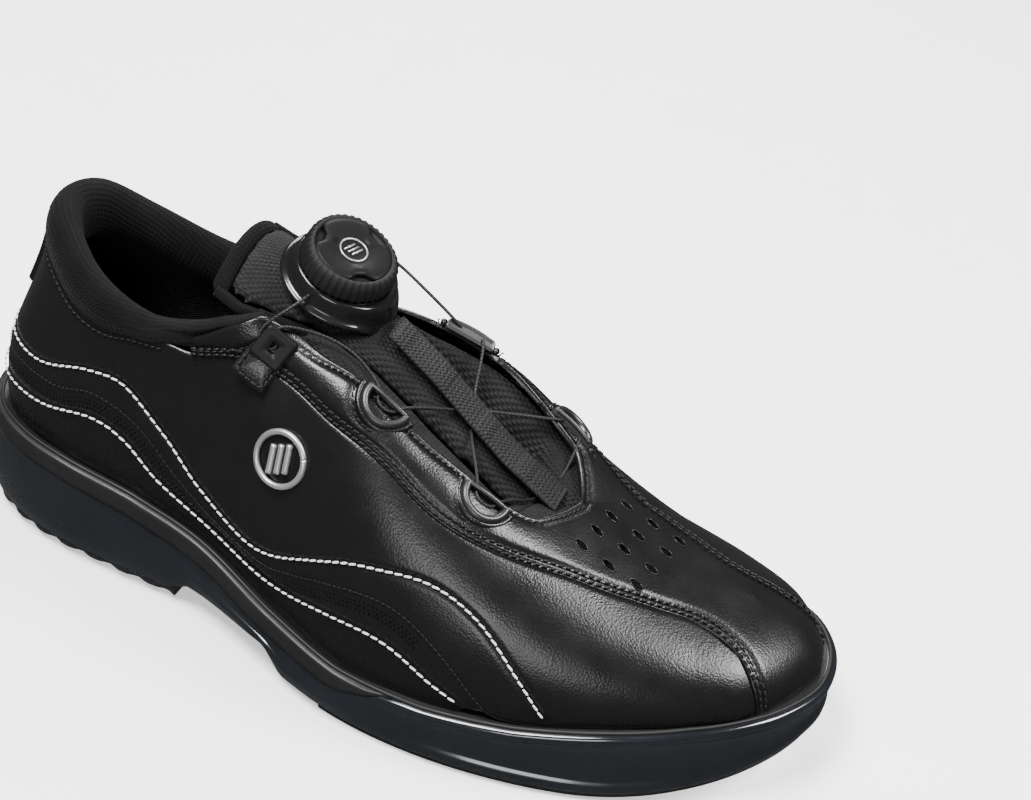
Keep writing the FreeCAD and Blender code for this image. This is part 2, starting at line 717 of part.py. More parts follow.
REEL_TURN = Rotation(Vector(0, 1, 0), size("reel_tilt")).multiply(
    Rotation(Vector(1, 0, 0), -size("reel_lean")))
LACE_LEVEL = 3.9                  # height of the lace above the mounting plate
REEL_BASE = Vector(size("reel_x"), size("reel_y") + size("side_shift"), size("reel_z"))


def reel_place(height):
    """Placement on the reel axis, height above the top of the mounting plate."""
    return Placement(REEL_BASE + REEL_TURN.multVec(Vector(0, 0, height)), REEL_TURN)


def lace_exit(side):
    """Where the lace leaves the winding, and which way it runs out of the cup."""
    sign = -1 if side == "lateral" else 1
    inner = REEL_BASE + REEL_TURN.multVec(Vector(-1.5, sign * 9.9, LACE_LEVEL))
    return inner, REEL_TURN.multVec(Vector(-0.12, sign, 0)).normalize()


def origin_plane(body, role):
    return next(f for f in body.Origin.OriginFeatures if f.Role == role)


def circle_body(node, radii, length, height):
    """PartDesign body: concentric circles padded along the reel axis."""
    body = doc.addObject("PartDesign::Body", node + "_body")
    sketch = body.newObject("Sketcher::SketchObject", node + "_circles")
    sketch.AttachmentSupport = [(origin_plane(body, "XY_Plane"), "")]
    sketch.MapMode = "FlatFace"
    for i, radius in enumerate(radii):
        sketch.addGeometry(Part.Circle(Vector(0, 0, 0), Vector(0, 0, 1), 5.0 + i), False)
        sketch.addConstraint(Sketcher.Constraint("Coincident", i, 3, -1, 1))
        sketch.addConstraint(Sketcher.Constraint("Radius", i, 5.0 + i))
        sketch.setExpression(f"Constraints[{2 * i + 1}]", radius)
    pad = body.newObject("PartDesign::Pad", node + "_pad")
    pad.Profile = sketch
    pad.setExpression("Length", length)
    body.Placement = reel_place(height)
    keep(node, body)
    return body


def ring_pocket(body, radii, length, at):
    """Pocket of concentric circles, cut downwards from local height at."""
    name = body.Name + "_pocket"
    sketch = body.newObject("Sketcher::SketchObject", name + "_circles")
    sketch.AttachmentSupport = [(origin_plane(body, "XY_Plane"), "")]
    sketch.MapMode = "FlatFace"
    sketch.AttachmentOffset = Placement(Vector(0, 0, at), Rotation())
    for i, radius in enumerate(radii):
        sketch.addGeometry(Part.Circle(Vector(0, 0, 0), Vector(0, 0, 1), 5.0 + i), False)
        sketch.addConstraint(Sketcher.Constraint("Coincident", i, 3, -1, 1))
        sketch.addConstraint(Sketcher.Constraint("Radius", i, 5.0 + i))
        sketch.setExpression(f"Constraints[{2 * i + 1}]", radius)
    doc.recompute()
    before = body.Shape.Volume
    pocket = body.newObject("PartDesign::Pocket", name)
    pocket.Profile = sketch
    pocket.setExpression("Length", length)
    doc.recompute()
    if body.Shape.Volume >= before - 1:
        raise RuntimeError(f"{name} cuts nothing")
    return pocket


def reel_parts():
    floor = 1.4
    # Mounting plate on the tongue, then the cup that is fixed to it.
    circle_body("reel_plate", ["Sizes.plate_radius"], "Sizes.plate_thick",
                -size("plate_thick"))
    housing = circle_body("cup", ["Sizes.housing_radius"], "Sizes.housing_depth", 0.05)
    ring_pocket(housing, ["Sizes.housing_radius - Sizes.housing_wall"],
                f"Sizes.housing_depth - {floor}", size("housing_depth"))
    PARTS.pop("cup")
    for side in ("lateral", "medial"):
        start, direction = lace_exit(side)
        hole = doc.addObject("Part::Cylinder", "lace_hole_" + side)
        hole.setExpression("Radius", "Sizes.lace_radius + 0.35")
        hole.Height = 12
        hole.Placement = Placement(start, Rotation(Vector(0, 0, 1), direction))
        housing = cut("cup_hole_" + side, housing, hole)
    keep("reel_housing", housing)
    # Axle pin stands on the floor of the cup.
    circle_body("reel_axle", ["Sizes.axle_radius"], "Sizes.housing_depth + 3.6",
                floor + 0.1)
    # Spool turns on the lower part of the axle.
    circle_body("spool", ["Sizes.hub_radius", "Sizes.axle_radius + Sizes.run_clearance"],
                "Sizes.spool_thick", floor + 0.35)
    circle_body("lace_winding", ["Sizes.winding_radius", "Sizes.hub_radius + 0.05"],
                "Sizes.spool_thick - 1.6", floor + 1.15)
    for name, height in (("spool_flange_low", floor + 0.35),
                         ("spool_flange_high", floor + size("spool_thick") - 0.15)):
        circle_body(name, ["Sizes.spool_radius", "Sizes.hub_radius + 0.05"], "0.5", height)
    # Bush that lifts with the knob to free the ratchet.
    bush_low = floor + size("spool_thick") + 0.75
    circle_body("release_bush",
                ["Sizes.bush_radius", "Sizes.axle_radius + Sizes.run_clearance"], "3.2",
                bush_low)
    # Knob: ratchet core, soft grip with lobes, flat cap.
    knob_low = size("housing_depth") + 0.45
    circle_body("knob_core", ["Sizes.knob_radius - 2.2",
                                     "Sizes.bush_radius + Sizes.run_clearance"],
                       "Sizes.knob_thick - 1.6", knob_low)
    grip_body(knob_low)
    cap_low = knob_low + size("knob_thick") - 1.5
    circle_body("knob_cap", ["Sizes.cap_radius"], "Sizes.cap_thick", cap_low)
    circle_body("knob_badge", ["4.6"], "0.5", cap_low + size("cap_thick") + 0.05)


def grip_body(height):
    """Rubber grip ring with scalloped lobes, made with a polar pattern."""
    body = circle_body("knob_grip", ["Sizes.knob_radius", "Sizes.knob_radius - 2.1"],
                       "Sizes.knob_thick", height)
    doc.recompute()
    sketch = body.newObject("Sketcher::SketchObject", "lobe_sketch")
    sketch.AttachmentSupport = [(origin_plane(body, "XY_Plane"), "")]
    sketch.MapMode = "FlatFace"
    sketch.addGeometry(Part.Circle(Vector(20, 0, 0), Vector(0, 0, 1), 5.0), False)
    sketch.addConstraint(Sketcher.Constraint("PointOnObject", 0, 3, -1))
    sketch.addConstraint(Sketcher.Constraint("DistanceX", -1, 1, 0, 3, 20.0))
    sketch.addConstraint(Sketcher.Constraint("Radius", 0, 5.0))
    sketch.setExpression("Constraints[1]", "Sizes.knob_radius + Sizes.lobe_radius - 1.1")
    sketch.setExpression("Constraints[2]", "Sizes.lobe_radius")
    before = body.Shape.Volume
    pocket = body.newObject("PartDesign::Pocket", "lobe_pocket")
    pocket.Profile = sketch
    pocket.Reversed = True
    pocket.Type = "ThroughAll"
    doc.recompute()
    pattern = body.newObject("PartDesign::PolarPattern", "lobe_pattern")
    pattern.Originals = [pocket]
    pattern.Axis = (sketch, ["N_Axis"])
    pattern.Angle = 360
    pattern.Occurrences = int(size("lobe_count"))
    body.Tip = pattern
    doc.recompute()
    if body.Shape.Volume > before - 30:
        raise RuntimeError("the lobes of the grip were not cut")


# --------------------------------------------------------------------------------------
# Lace guides and lace
# --------------------------------------------------------------------------------------

GUIDE_LIFT = 0.5                  # a guide stands this far off the leather
CLIP_LIFT = 1.0
GUIDE_EDGE = 3.2                  # and its straight edge this far towards the throat
CLIP = (5.1, 0.93)
LACE_BEND = 1.9                   # longest straight run taken up by a bend of the lace
GUIDES = {
    "lace_guide_lateral_upper": (6.4, 0.735),
    "lace_guide_lateral_lower": (7.55, 0.705),
    "lace_guide_medial_upper": (STATIONS - 6.6, 0.69),
    "lace_guide_medial_lower": (STATIONS - 7.85, 0.68),
}


def guide_frame(k, v):
    """Centre, direction along the throat edge, direction to the throat, and normal."""
    normal = upper_normal(k, v)
    along = (upper_point(k + 0.1, v) - upper_point(k - 0.1, v)).normalize()
    inward = normal.cross(along)
    to_crest = upper_point(k, min(v + 0.05, 1)) - upper_point(k, v)
    if inward.dot(to_crest) < 0:
        inward = inward * -1
    along = inward.cross(normal).normalize()
    return upper_point(k, v), along, inward, normal


def frame_place(k, v, lift):
    """Local X along the throat, local Y towards it, local Z off the leather."""
    centre, along, inward, normal = guide_frame(k, v)
    return Placement(centre + normal * lift, Rotation(along, inward, normal, "ZXY"))


def half_moon(node, k, v):
    """Half-moon guide: a plate with a slot that opens to the throat."""
    disc = doc.addObject("Part::Cylinder", node + "_disc")
    disc.setExpression("Radius", "Sizes.guide_radius")
    disc.setExpression("Height", "Sizes.guide_thick")
    disc.Placement.Base = Vector(0, GUIDE_EDGE, 0)
    trim = doc.addObject("Part::Box", node + "_trim")
    trim.Length = 40
    trim.Width = 40
    trim.Height = 20
    trim.Placement.Base = Vector(-20, GUIDE_EDGE, -5)
    half = cut(node + "_half", disc, trim)
    hollow = doc.addObject("Part::Cylinder", node + "_slot")
    hollow.setExpression("Radius", "Sizes.guide_radius - 1.4")
    hollow.setExpression("Height", "Sizes.guide_slot")
    slot_low = (size("guide_thick") - size("guide_slot")) / 2
    hollow.Placement.Base = Vector(0, GUIDE_EDGE, slot_low)
    guide = cut(node + "_cut", half, hollow)
    guide.Placement = frame_place(k, v, GUIDE_LIFT)
    keep(node, guide)


def square_clip():
    """Square guide beside the reel, with the same slot as the half-moons."""
    block = doc.addObject("Part::Box", "clip_block")
    block.setExpression("Length", "Sizes.clip_length")
    block.setExpression("Width", "Sizes.clip_width")
    block.setExpression("Height", "Sizes.guide_thick")
    block.Placement.Base = Vector(-size("clip_length") / 2, -size("clip_width") / 2, 0)
    slot = doc.addObject("Part::Box", "clip_slot")
    slot.setExpression("Length", "Sizes.clip_length - 2.8")
    slot.setExpression("Width", "Sizes.clip_width")
    slot.setExpression("Height", "Sizes.guide_slot")
    slot.Placement.Base = Vector(1.4 - size("clip_length") / 2, 1.4 - size("clip_width") / 2,
                                 (size("guide_thick") - size("guide_slot")) / 2)
    clip = cut("clip_cut", block, slot)
    clip.Placement = frame_place(*CLIP, CLIP_LIFT)
    keep("top_clip", clip)


def lace_points():
    """Route of the lace: reel, top clip, lateral and medial guides, reel."""
    level = GUIDE_LIFT + size("guide_thick") / 2

    def in_guide(spot, backward=False, half=4.6, mouth=GUIDE_EDGE + 1.7, level=level):
        """Four corners of the route in a guide, from its heel end to its toe end."""
        centre, along, inward, normal = guide_frame(*spot)
        if along.x < 0:
            along = along * -1
        corners = [(-half, mouth), (-0.65 * half, -0.2), (0.65 * half, -0.2),
                   (half, mouth)]
        if backward:
            corners.reverse()
        return [centre + along * a + inward * b + normal * level for a, b in corners]

    def over_tongue(x_lateral, x_medial, layer):
        """Two points under the edges of the webbing; layer 1 passes over layer 0."""
        rise = 0.7 + size("lace_radius") + layer * (2 * size("lace_radius") + 0.15)
        reach = size("webbing_width") / 2 + 1.2
        return [
            Vector(x, TONGUE_MIDDLE + side,
                   crest_height(x, side) - size("tongue_drop") + rise)
            for x, side in ((x_lateral, -reach), (x_medial, reach))
        ]

    start, start_way = lace_exit("lateral")
    finish, finish_way = lace_exit("medial")
    route = [start, start + start_way * 10.5]
    route += in_guide(CLIP, half=3.4, mouth=7.4, level=level + CLIP_LIFT - GUIDE_LIFT)
    side = -size("tongue_width") / 2
    route.append(Vector(-21, TONGUE_MIDDLE + side, crest_height(-21, side) + 0.8))
    route += in_guide(GUIDES["lace_guide_lateral_upper"])
    route += over_tongue(14, 22, 1)
    route += in_guide(GUIDES["lace_guide_medial_lower"])
    route += over_tongue(46, 50, 0)[::-1]
    route += in_guide(GUIDES["lace_guide_lateral_lower"], backward=True)
    route += over_tongue(22, 17, 0)
    route += in_guide(GUIDES["lace_guide_medial_upper"], backward=True)
    route += [finish + finish_way * 10.5, finish]
    return route


def rounded_wire(points):
    """Straight runs joined by tangent arcs, each as large as its runs allow."""
    edges, last, radii = [], points[0], []
    for a, b, c in zip(points, points[1:], points[2:]):
        back, on = (a - b), (c - b)
        shorter = min(back.Length, on.Length)
        turn = math.pi - back.getAngle(on)
        reach = min(0.45 * shorter, LACE_BEND)
        radii.append(reach / math.tan(turn / 2))
        back.normalize()
        on.normalize()
        first, second = b + back * reach, b + on * reach
        bisector = (back + on).normalize()
        centre_distance = radii[-1] / math.cos(turn / 2)
        middle = b + bisector * (centre_distance - radii[-1])
        edges.append(Part.LineSegment(last, first).toShape())
        edges.append(Part.Arc(first, middle, second).toShape())
        last = second
    edges.append(Part.LineSegment(last, points[-1]).toShape())
    return Part.Wire(edges), radii


def lace_part():
    wire, radii = rounded_wire(lace_points())
    print("lace length", round(wire.Length, 1), "radii", [round(r, 1) for r in radii])
    start = wire.Vertexes[0].Point
    direction = wire.Edges[0].tangentAt(wire.Edges[0].FirstParameter)
    radius = size("lace_radius")
    section = Part.Wire(Part.makeCircle(radius, start, direction))
    tube = wire.makePipeShell([section], True, True)
    expected = math.pi * radius ** 2 * wire.Length
    print("lace volume share", round(tube.Volume / expected, 3))
    feature = doc.addObject("Part::Feature", "lace_tube")
    feature.Shape = tube
    keep("lace", feature)


def fittings():
    for node, (k, v) in GUIDES.items():
        half_moon(node, k, v)
    square_clip()
    badge = doc.addObject("Part::Cylinder", "emblem_disc")
    badge.setExpression("Radius", "Sizes.emblem_radius")
    badge.setExpression("Height", "Sizes.emblem_thick")
    badge.Placement = frame_place(5.15, 0.52, 1.3)
    keep("side_emblem", badge)


sole_parts()
forefoot_pad()
heel_pad()
upper_parts()
tongue_parts()
reel_parts()
fittings()
lace_part()
doc.recompute()

for obj in doc.Objects:
    if "Invalid" in obj.State or "Error" in obj.State:
        raise RuntimeError(f"{obj.Label} failed: {obj.State}")
os.makedirs("parts", exist_ok=True)
box = FreeCAD.BoundBox()
for node, obj in PARTS.items():
    shape = obj.Shape
    if shape.isNull() or not shape.isValid() or not shape.Solids:
        raise RuntimeError(f"{node} has no valid solid")
    box.add(shape.BoundBox)
    shape.exportStep(f"parts/{node}.step")
print(len(PARTS), "parts; box", [round(c, 2) for c in (box.XMin, box.XMax, box.YMin,
                                                      box.YMax, box.ZMin, box.ZMax)])
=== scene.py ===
import json
import math

import bmesh
import bpy
import numpy as np
from mathutils import Matrix, Vector, kdtree
from mathutils.bvhtree import BVHTree


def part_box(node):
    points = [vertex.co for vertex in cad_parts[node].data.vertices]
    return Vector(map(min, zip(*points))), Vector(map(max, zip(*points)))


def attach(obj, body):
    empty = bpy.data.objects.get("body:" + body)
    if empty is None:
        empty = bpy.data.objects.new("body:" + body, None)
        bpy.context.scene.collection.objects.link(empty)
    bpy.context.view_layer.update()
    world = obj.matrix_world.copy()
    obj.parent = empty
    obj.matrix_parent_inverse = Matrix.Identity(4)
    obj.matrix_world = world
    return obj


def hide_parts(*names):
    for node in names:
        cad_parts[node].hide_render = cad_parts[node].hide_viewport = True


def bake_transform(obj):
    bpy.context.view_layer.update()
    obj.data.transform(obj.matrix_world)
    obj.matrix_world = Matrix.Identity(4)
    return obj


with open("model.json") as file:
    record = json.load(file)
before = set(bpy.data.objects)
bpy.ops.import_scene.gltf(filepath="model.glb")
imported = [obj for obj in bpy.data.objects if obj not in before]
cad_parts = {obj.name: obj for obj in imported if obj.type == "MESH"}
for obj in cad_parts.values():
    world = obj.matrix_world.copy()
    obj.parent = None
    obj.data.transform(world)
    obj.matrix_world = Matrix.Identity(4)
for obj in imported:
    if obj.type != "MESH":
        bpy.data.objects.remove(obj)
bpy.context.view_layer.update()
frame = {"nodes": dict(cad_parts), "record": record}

# Right bowling shoe: +X toe, +Y medial side, +Z up. Shapes are worked out in
# millimetres and turned into metres where a mesh is made.
MM = 0.001
SIDE_SHIFT = 7.68


# ------------------------------------------------------------------ curves


def smooth(points, u, closed=False):
    """Catmull-Rom curve through points, at the numbers u (u counts points)."""
    points = np.asarray(points, float)
    u = np.asarray(u, float)
    count = len(points)
    if closed:
        i = np.floor(u).astype(int)
        at = lambda j: points[j % count]
    else:
        i = np.clip(np.floor(u).astype(int), 0, count - 2)
        ends = [2 * points[0] - points[1], 2 * points[-1] - points[-2]]
        padded = np.vstack([ends[0], points, ends[1]])
        at = lambda j: padded[j + 1]
    s = (u - i)[..., None]
    a, b, c, d = at(i - 1), at(i), at(i + 1), at(i + 2)
    return 0.5 * (2 * b + (c - a) * s + (2 * a - 5 * b + 4 * c - d) * s ** 2
                  + (3 * b - a - 3 * c + d) * s ** 3)


def straight(points, u):
    """Straight runs through points, at the numbers u."""
    points = np.asarray(points, float)
    i = np.clip(np.floor(u).astype(int), 0, len(points) - 2)
    s = (np.asarray(u) - i)[..., None]
    return points[i] * (1 - s) + points[i + 1] * s


def path(points, corners=False):
    """A route as a function of a share from 0 to 1."""
    last = len(points) - 1
    if corners:
        return lambda share: straight(points, np.asarray(share) * last)
    return lambda share: smooth(points, np.asarray(share) * last)


def sampled(values, run, marks):
    """Rows of values, known at the distances run, read at the marks."""
    return np.stack([np.interp(marks, run, column) for column in values.T], -1)


def unit(vectors):
    return vectors / np.maximum(np.linalg.norm(vectors, axis=-1, keepdims=True), 1e-9)


def lengths(points):
    """Distance run along a line of points."""
    steps = np.linalg.norm(np.diff(points, axis=0), axis=1)
    return np.concatenate([[0], np.cumsum(steps)])


# ------------------------------------------------------------------ the upper's surface

# Station by station around the foot: sole edge point, top point, then how the rib
# between them is shaped (rise, swell, reach, drop, slope), as in the CAD.
LATERAL = [
    ((-147, -1, 39.5), (-132, 0, 119), (0.38, 4, 0.0, 0.40, 0.0)),
    ((-138, -20, 39.5), (-126, -15, 117), (0.38, 4, 0.0, 0.40, 0.0)),
    ((-112, -30.5, 39), (-110, -25, 107), (0.38, 4, 0.0, 0.40, 0.0)),
    ((-82, -33.5, 36.5), (-88, -29, 100), (0.40, 4, 0.0, 0.40, 0.0)),
    ((-52, -36.5, 30), (-64, -29, 101), (0.42, 4, 0.1, 0.35, 0.0)),
    ((-22, -47, 23.5), (-44, -23, 108), (0.45, 3, 0.3, 0.20, -0.2)),
    ((8, -57, 20), (-28, -3, 115), (0.50, 2, 0.5, 0.02, -0.45)),
    ((38, -59, 20.5), (4, -3, 99), (0.52, 2, 0.55, 0.0, -0.52)),
    ((68, -55.5, 23.5), (33, -1, 82), (0.55, 2, 0.55, 0.0, -0.50)),
    ((95, -47, 28), (60, 1, 69), (0.55, 2, 0.55, 0.0, -0.42)),
    ((118, -35.5, 31), (84, 4, 60), (0.55, 2, 0.55, 0.0, -0.32)),
    ((135, -20.5, 32), (104, 6, 55), (0.55, 2, 0.55, 0.0, -0.27)),
    ((146, 8, 32.5), (120, 8, 51), (0.55, 2, 0.55, 0.0, -0.30)),
]
TOE_K = len(LATERAL) - 1
STATIONS = 2 * TOE_K
CREST_K = 8.99
MEDIAL_EDGE = [(-139, 18, 39.5), (-112, 30.5, 39), (-82, 29.5, 36.5), (-52, 26, 30),
               (-22, 26, 23.7), (8, 31, 20.4), (38, 38.5, 20.7), (68, 43, 23.7),
               (95, 43.5, 28), (118, 39.5, 31), (136, 30, 32)]
MEDIAL_TOP = [(-126, 15, 117), (-110, 26, 107), (-88, 29, 101), (-64, 26, 102),
              (-44, 19, 111), (-28, 7, 121), (4, 8, 110), (33, 4, 88)]
MEDIAL_TOP += [row[1] for row in LATERAL[9:TOE_K]]
EDGE_RAIL = [row[0] for row in LATERAL] + MEDIAL_EDGE[::-1]
TOP_RAIL = [row[1] for row in LATERAL] + MEDIAL_TOP[::-1]
RIB_SHAPE = [row[2] for row in LATERAL + LATERAL[TOE_K - 1:0:-1]]


def upper(k, v):
    """Points of the upper's outer surface; v climbs from the sole edge to the top."""
    k, v = np.broadcast_arrays(np.asarray(k, float), np.asarray(v, float))
    edge = smooth(EDGE_RAIL, k, closed=True)
    mirrored_k = np.where((k > TOE_K) & (k <= STATIONS - CREST_K), STATIONS - k, k)
    top = smooth(TOP_RAIL, mirrored_k, closed=True)
    rise, swell, reach, drop, slope = np.moveaxis(smooth(RIB_SHAPE, k, closed=True), -1, 0)
    along = smooth(EDGE_RAIL, k + 0.05, closed=True) - smooth(EDGE_RAIL, k - 0.05, closed=True)
    outward = unit(np.stack([along[..., 1], -along[..., 0], 0 * k], -1))
    height = top[..., 2] - edge[..., 2]
    across = edge - top
    across[..., 2] = 0
    lift = np.stack([0 * k, 0 * k, rise * height], -1)
    low = edge + lift + outward * swell[..., None]
    fall = np.stack([0 * k, 0 * k, reach * across[..., 0] * slope - drop * height], -1)
    high = top + across * reach[..., None] + fall
    v = v[..., None]
    w = 1 - v
    point = edge * w ** 3 + low * 3 * w ** 2 * v + high * 3 * w * v ** 2 + top * v ** 3
    return point + np.array([0, SIDE_SHIFT, 0])


def side_normal(k, v):
    v = np.clip(v, 0.01, 0.985)
    along = upper(k + 0.02, v) - upper(k - 0.02, v)
    up = upper(k, v + 0.01) - upper(k, v - 0.01)
    return unit(np.cross(along, up))


def normal(k, v):
    """Outward normals; both sides agree on them along the crest."""
    k, v = np.broadcast_arrays(np.asarray(k, float), np.asarray(v, float))
    own = side_normal(k, v)
    front = (k >= CREST_K) & (k <= STATIONS - CREST_K)
    share = (np.clip((v - 0.9) / 0.1, 0, 1) * front)[..., None]
    return unit(own * (1 - share / 2) + side_normal(STATIONS - k, v) * share / 2)


def skin(k, v, height=0.0):
    """Points at a height above the upper's surface."""
    return upper(k, v) + normal(k, v) * np.asarray(height)[..., None]


def mirrored(points):
    """A route in (k, v) on the medial side."""
    return [(STATIONS - k, v) for k, v in points]


def same(points):
    return points


# Seams, as routes in (k, v).
LOWER_SEAM = [(0.0, 0.14), (0.9, 0.15), (1.7, 0.18), (2.45, 0.29), (2.9, 0.26),
              (3.3, 0.14), (3.8, 0.08), (4.4, 0.06), (5.0, 0.07), (5.8, 0.11),
              (6.5, 0.12), (7.05, 0.06), (7.4, 0.015)]
BAND_SEAM = [(0.0, 0.27), (0.9, 0.29), (1.85, 0.34), (2.48, 0.45), (3.08, 0.41),
             (3.6, 0.23), (4.1, 0.13), (4.8, 0.12), (5.3, 0.16), (5.85, 0.20),
             (6.58, 0.23), (7.1, 0.17), (7.65, 0.02)]
QUARTER_STITCH = [(0.0, 0.36), (1.0, 0.38), (1.6, 0.42), (2.33, 0.58), (2.93, 0.63),
                  (3.48, 0.46), (3.95, 0.26), (4.62, 0.17), (5.5, 0.24), (6.3, 0.31),
                  (7.0, 0.37), (7.53, 0.33), (7.95, 0.19), (8.3, 0.03)]
KNIT_SEAM = [(0.0, 0.84), (0.7, 0.85), (1.4, 0.85), (2.0, 0.83), (2.5, 0.85),
             (3.0, 0.92), (3.5, 0.95)]
VAMP_SEAM = [(3.9, 0.93), (4.5, 0.92), (5.0, 0.84), (5.75, 0.62), (6.5, 0.575),
             (7.1, 0.555), (7.7, 0.575), (8.5, 0.63), (9.0, 0.65)]
TOE_SEAM = [(9.0, 0.65), (9.7, 0.665), (10.4, 0.65), (10.8, 0.52), (10.9, 0.25),
            (10.94, 0.0)]
MEDIAL_TOE_SEAM = [(9.0, 0.65), (9.7, 0.67), (10.6, 0.68), (11.1, 0.52), (11.4, 0.25),
                   (11.5, 0.0)]
THROAT = [(3.9, 1.0), (4.5, 1.0), (5.0, 1.0), (5.35, 0.92), (5.8, 0.80), (6.5, 0.77),
          (7.3, 0.77), (8.1, 0.785), (8.5, 0.86), (9.0, 1.0)]
MEDIAL_THROAT = [(3.9, 1.0), (4.5, 1.0), (5.0, 1.0), (5.3, 0.88), (5.75, 0.74), (6.5, 0.715),
                 (7.3, 0.74), (8.1, 0.78), (8.5, 0.86), (9.0, 1.0)]
CREST = [(9.0, 1.0), (9.8, 1.0), (10.6, 1.0), (11.4, 1.0), (TOE_K, 1.0), (TOE_K, 0.6),
         (TOE_K, 0.3), (TOE_K, 0.0)]
SIDES = {
    "lateral": (same, TOE_SEAM, THROAT),
    "medial": (mirrored, MEDIAL_TOE_SEAM, MEDIAL_THROAT),
}


# ------------------------------------------------------------------ the sole's lines

OUTLINE = [
    (-152.5, -1), (-146, -18), (-132, -29), (-112, -35.5), (-85, -38), (-55, -40.5),
    (-25, -51), (5, -61), (35, -64), (65, -61), (95, -52.5), (120, -39.5), (139, -23),
    (150, -5), (152.5, 9), (149, 24), (139, 36.5), (120, 44), (95, 48), (65, 48),
    (35, 43), (5, 35.5), (-25, 30.5), (-55, 30.5), (-85, 34.5), (-112, 35.5),
    (-134, 29), (-147, 15),
]
EDGE_HEIGHT = [(-160, 39.3), (-112, 38.6), (-82, 36.0), (-52, 29.5), (-22, 23.0), (8, 19.6),
               (38, 20.1), (68, 23.1), (95, 27.6), (118, 30.6), (135, 31.6), (160, 32.2)]
BAND_HEIGHT = [(-160, 7), (-100, 7.5), (-60, 8), (-22, 7.5), (8, 7), (40, 2)]
SPRING_START, TOE_X, TOE_SPRING = 85.0, 152.5, 15.0
SHELL_LOW, CUP_LOW, ARCH_LOW = 6.6, 11.2, 9.5
HEEL_FRONT, PAD_REAR = -62.0, -12.0


def table(points, x):
    xs, ys = zip(*points)
    return np.interp(x, xs, ys)


def ground(x):
    run = (np.asarray(x, float) - SPRING_START) / (TOE_X - SPRING_START)
    return TOE_SPRING * np.maximum(run, 0) ** 2


def edge_height(x):
    return table(EDGE_HEIGHT, x)


def shell_low(x):
    seat = table([(HEEL_FRONT - 1, CUP_LOW), (HEEL_FRONT + 6, ARCH_LOW),
                  (PAD_REAR - 6, ARCH_LOW), (PAD_REAR, SHELL_LOW)], x)
    return seat + ground(x)


AROUND = 420
LAP = np.arange(AROUND) * len(OUTLINE) / AROUND


def outline(inset=0.0):
    """The plan outline, moved inwards, as x and y columns."""
    points = smooth(OUTLINE, LAP, closed=True)
    tangent = unit(smooth(OUTLINE, LAP + 0.1, closed=True)
                   - smooth(OUTLINE, LAP - 0.1, closed=True))
    inward = np.stack([-tangent[:, 1], tangent[:, 0]], -1)
    moved = points + inward * np.asarray(inset).reshape(-1, 1)
    return moved + [0, SIDE_SHIFT]


def spine(points):
    """Where each outline point shrinks to: the sole's middle line."""
    x = np.clip(points[:, 0], -122, 112)
    y = table([(-122, 0), (-85, -1.5), (-55, -5), (-20, -10), (20, -12), (65, -7),
               (95, -3), (112, 3)], x) + SIDE_SHIFT
    return np.stack([x, y], -1)


def ring(height, inset=0.0, share=1.0):
    """One closed row of a lofted sole part; height is a number or a function of x."""
    plan = outline(inset)
    centre = spine(plan)
    plan = centre + (plan - centre) * share
    z = height(plan[:, 0]) if callable(height) else np.full(AROUND, float(height))
    return np.column_stack([plan, z])


# ------------------------------------------------------------------ materials


class Nodes:
    """Short names for building one material's node tree."""

    def __init__(self, name):
        self.material = bpy.data.materials.new(name)
        self.material.use_nodes = True
        self.tree = self.material.node_tree
        self.shader = self.tree.nodes["Principled BSDF"]
        self.coordinates = self.add("ShaderNodeTexCoord")

    def add(self, kind, **values):
        node = self.tree.nodes.new(kind)
        for key, value in values.items():
            if hasattr(node, key):
                setattr(node, key, value)
            else:
                node.inputs[key.replace("_", " ").title()].default_value = value
        return node

    def link(self, source, target):
        self.tree.links.new(source, target)

    def place(self, space, scale=(1, 1, 1), turn=0.0):
        mapping = self.add("ShaderNodeMapping")
        mapping.inputs["Scale"].default_value = scale
        mapping.inputs["Rotation"].default_value = (0, 0, turn)
        self.link(self.coordinates.outputs[space], mapping.inputs["Vector"])
        return mapping.outputs["Vector"]

    def ramp(self, source, low, high, start=0.3, end=0.7):
        """source spread over the values low to high."""
        node = self.add("ShaderNodeMapRange")
        for socket, value in zip(("From Min", "From Max", "To Min", "To Max"),
                                 (start, end, low, high)):
            node.inputs[socket].default_value = value
        self.link(source, node.inputs["Value"])
        return node.outputs["Result"]

    def blend(self, share, low, high):
        node = self.add("ShaderNodeMix", data_type="RGBA")
        node.inputs[6].default_value = (*low, 1)
        node.inputs[7].default_value = (*high, 1)
        self.link(share, node.inputs["Factor"])
        return node.outputs[2]

    def sum(self, first, second, share=1.0):
        node = self.add("ShaderNodeMath", operation="MULTIPLY_ADD")
        node.inputs[1].default_value = share
        self.link(second, node.inputs[0])
        self.link(first, node.inputs[2])
        return node.outputs[0]

    def product(self, first, second):
        node = self.add("ShaderNodeMath", operation="MULTIPLY")
        self.link(first, node.inputs[0])
        self.link(second, node.inputs[1])
        return node.outputs[0]


def noise(n, where, scale, detail=3.0):
    node = n.add("ShaderNodeTexNoise", scale=scale, detail=detail)
    n.link(where, node.inputs["Vector"])
    return node.outputs["Fac"]


def cells(n, where, scale, feature="F1"):
    node = n.add("ShaderNodeTexVoronoi", feature=feature, scale=scale)
    n.link(where, node.inputs["Vector"])
    return node.outputs["Distance"]


def wave(n, where, scale, direction="X", distortion=0.0):
    node = n.add("ShaderNodeTexWave", bands_direction=direction, scale=scale,
                 distortion=distortion)
    n.link(where, node.inputs["Vector"])
    return node.outputs["Fac"]


def grain(n):
    """Fine pebbled leather, creased a little."""
    where = n.place("Object")
    pebbles = n.ramp(cells(n, where, 1250), 0, 1, 0.0, 0.75)
    return n.sum(n.sum(pebbles, noise(n, where, 2600), 0.4), noise(n, where, 140), 1.6)


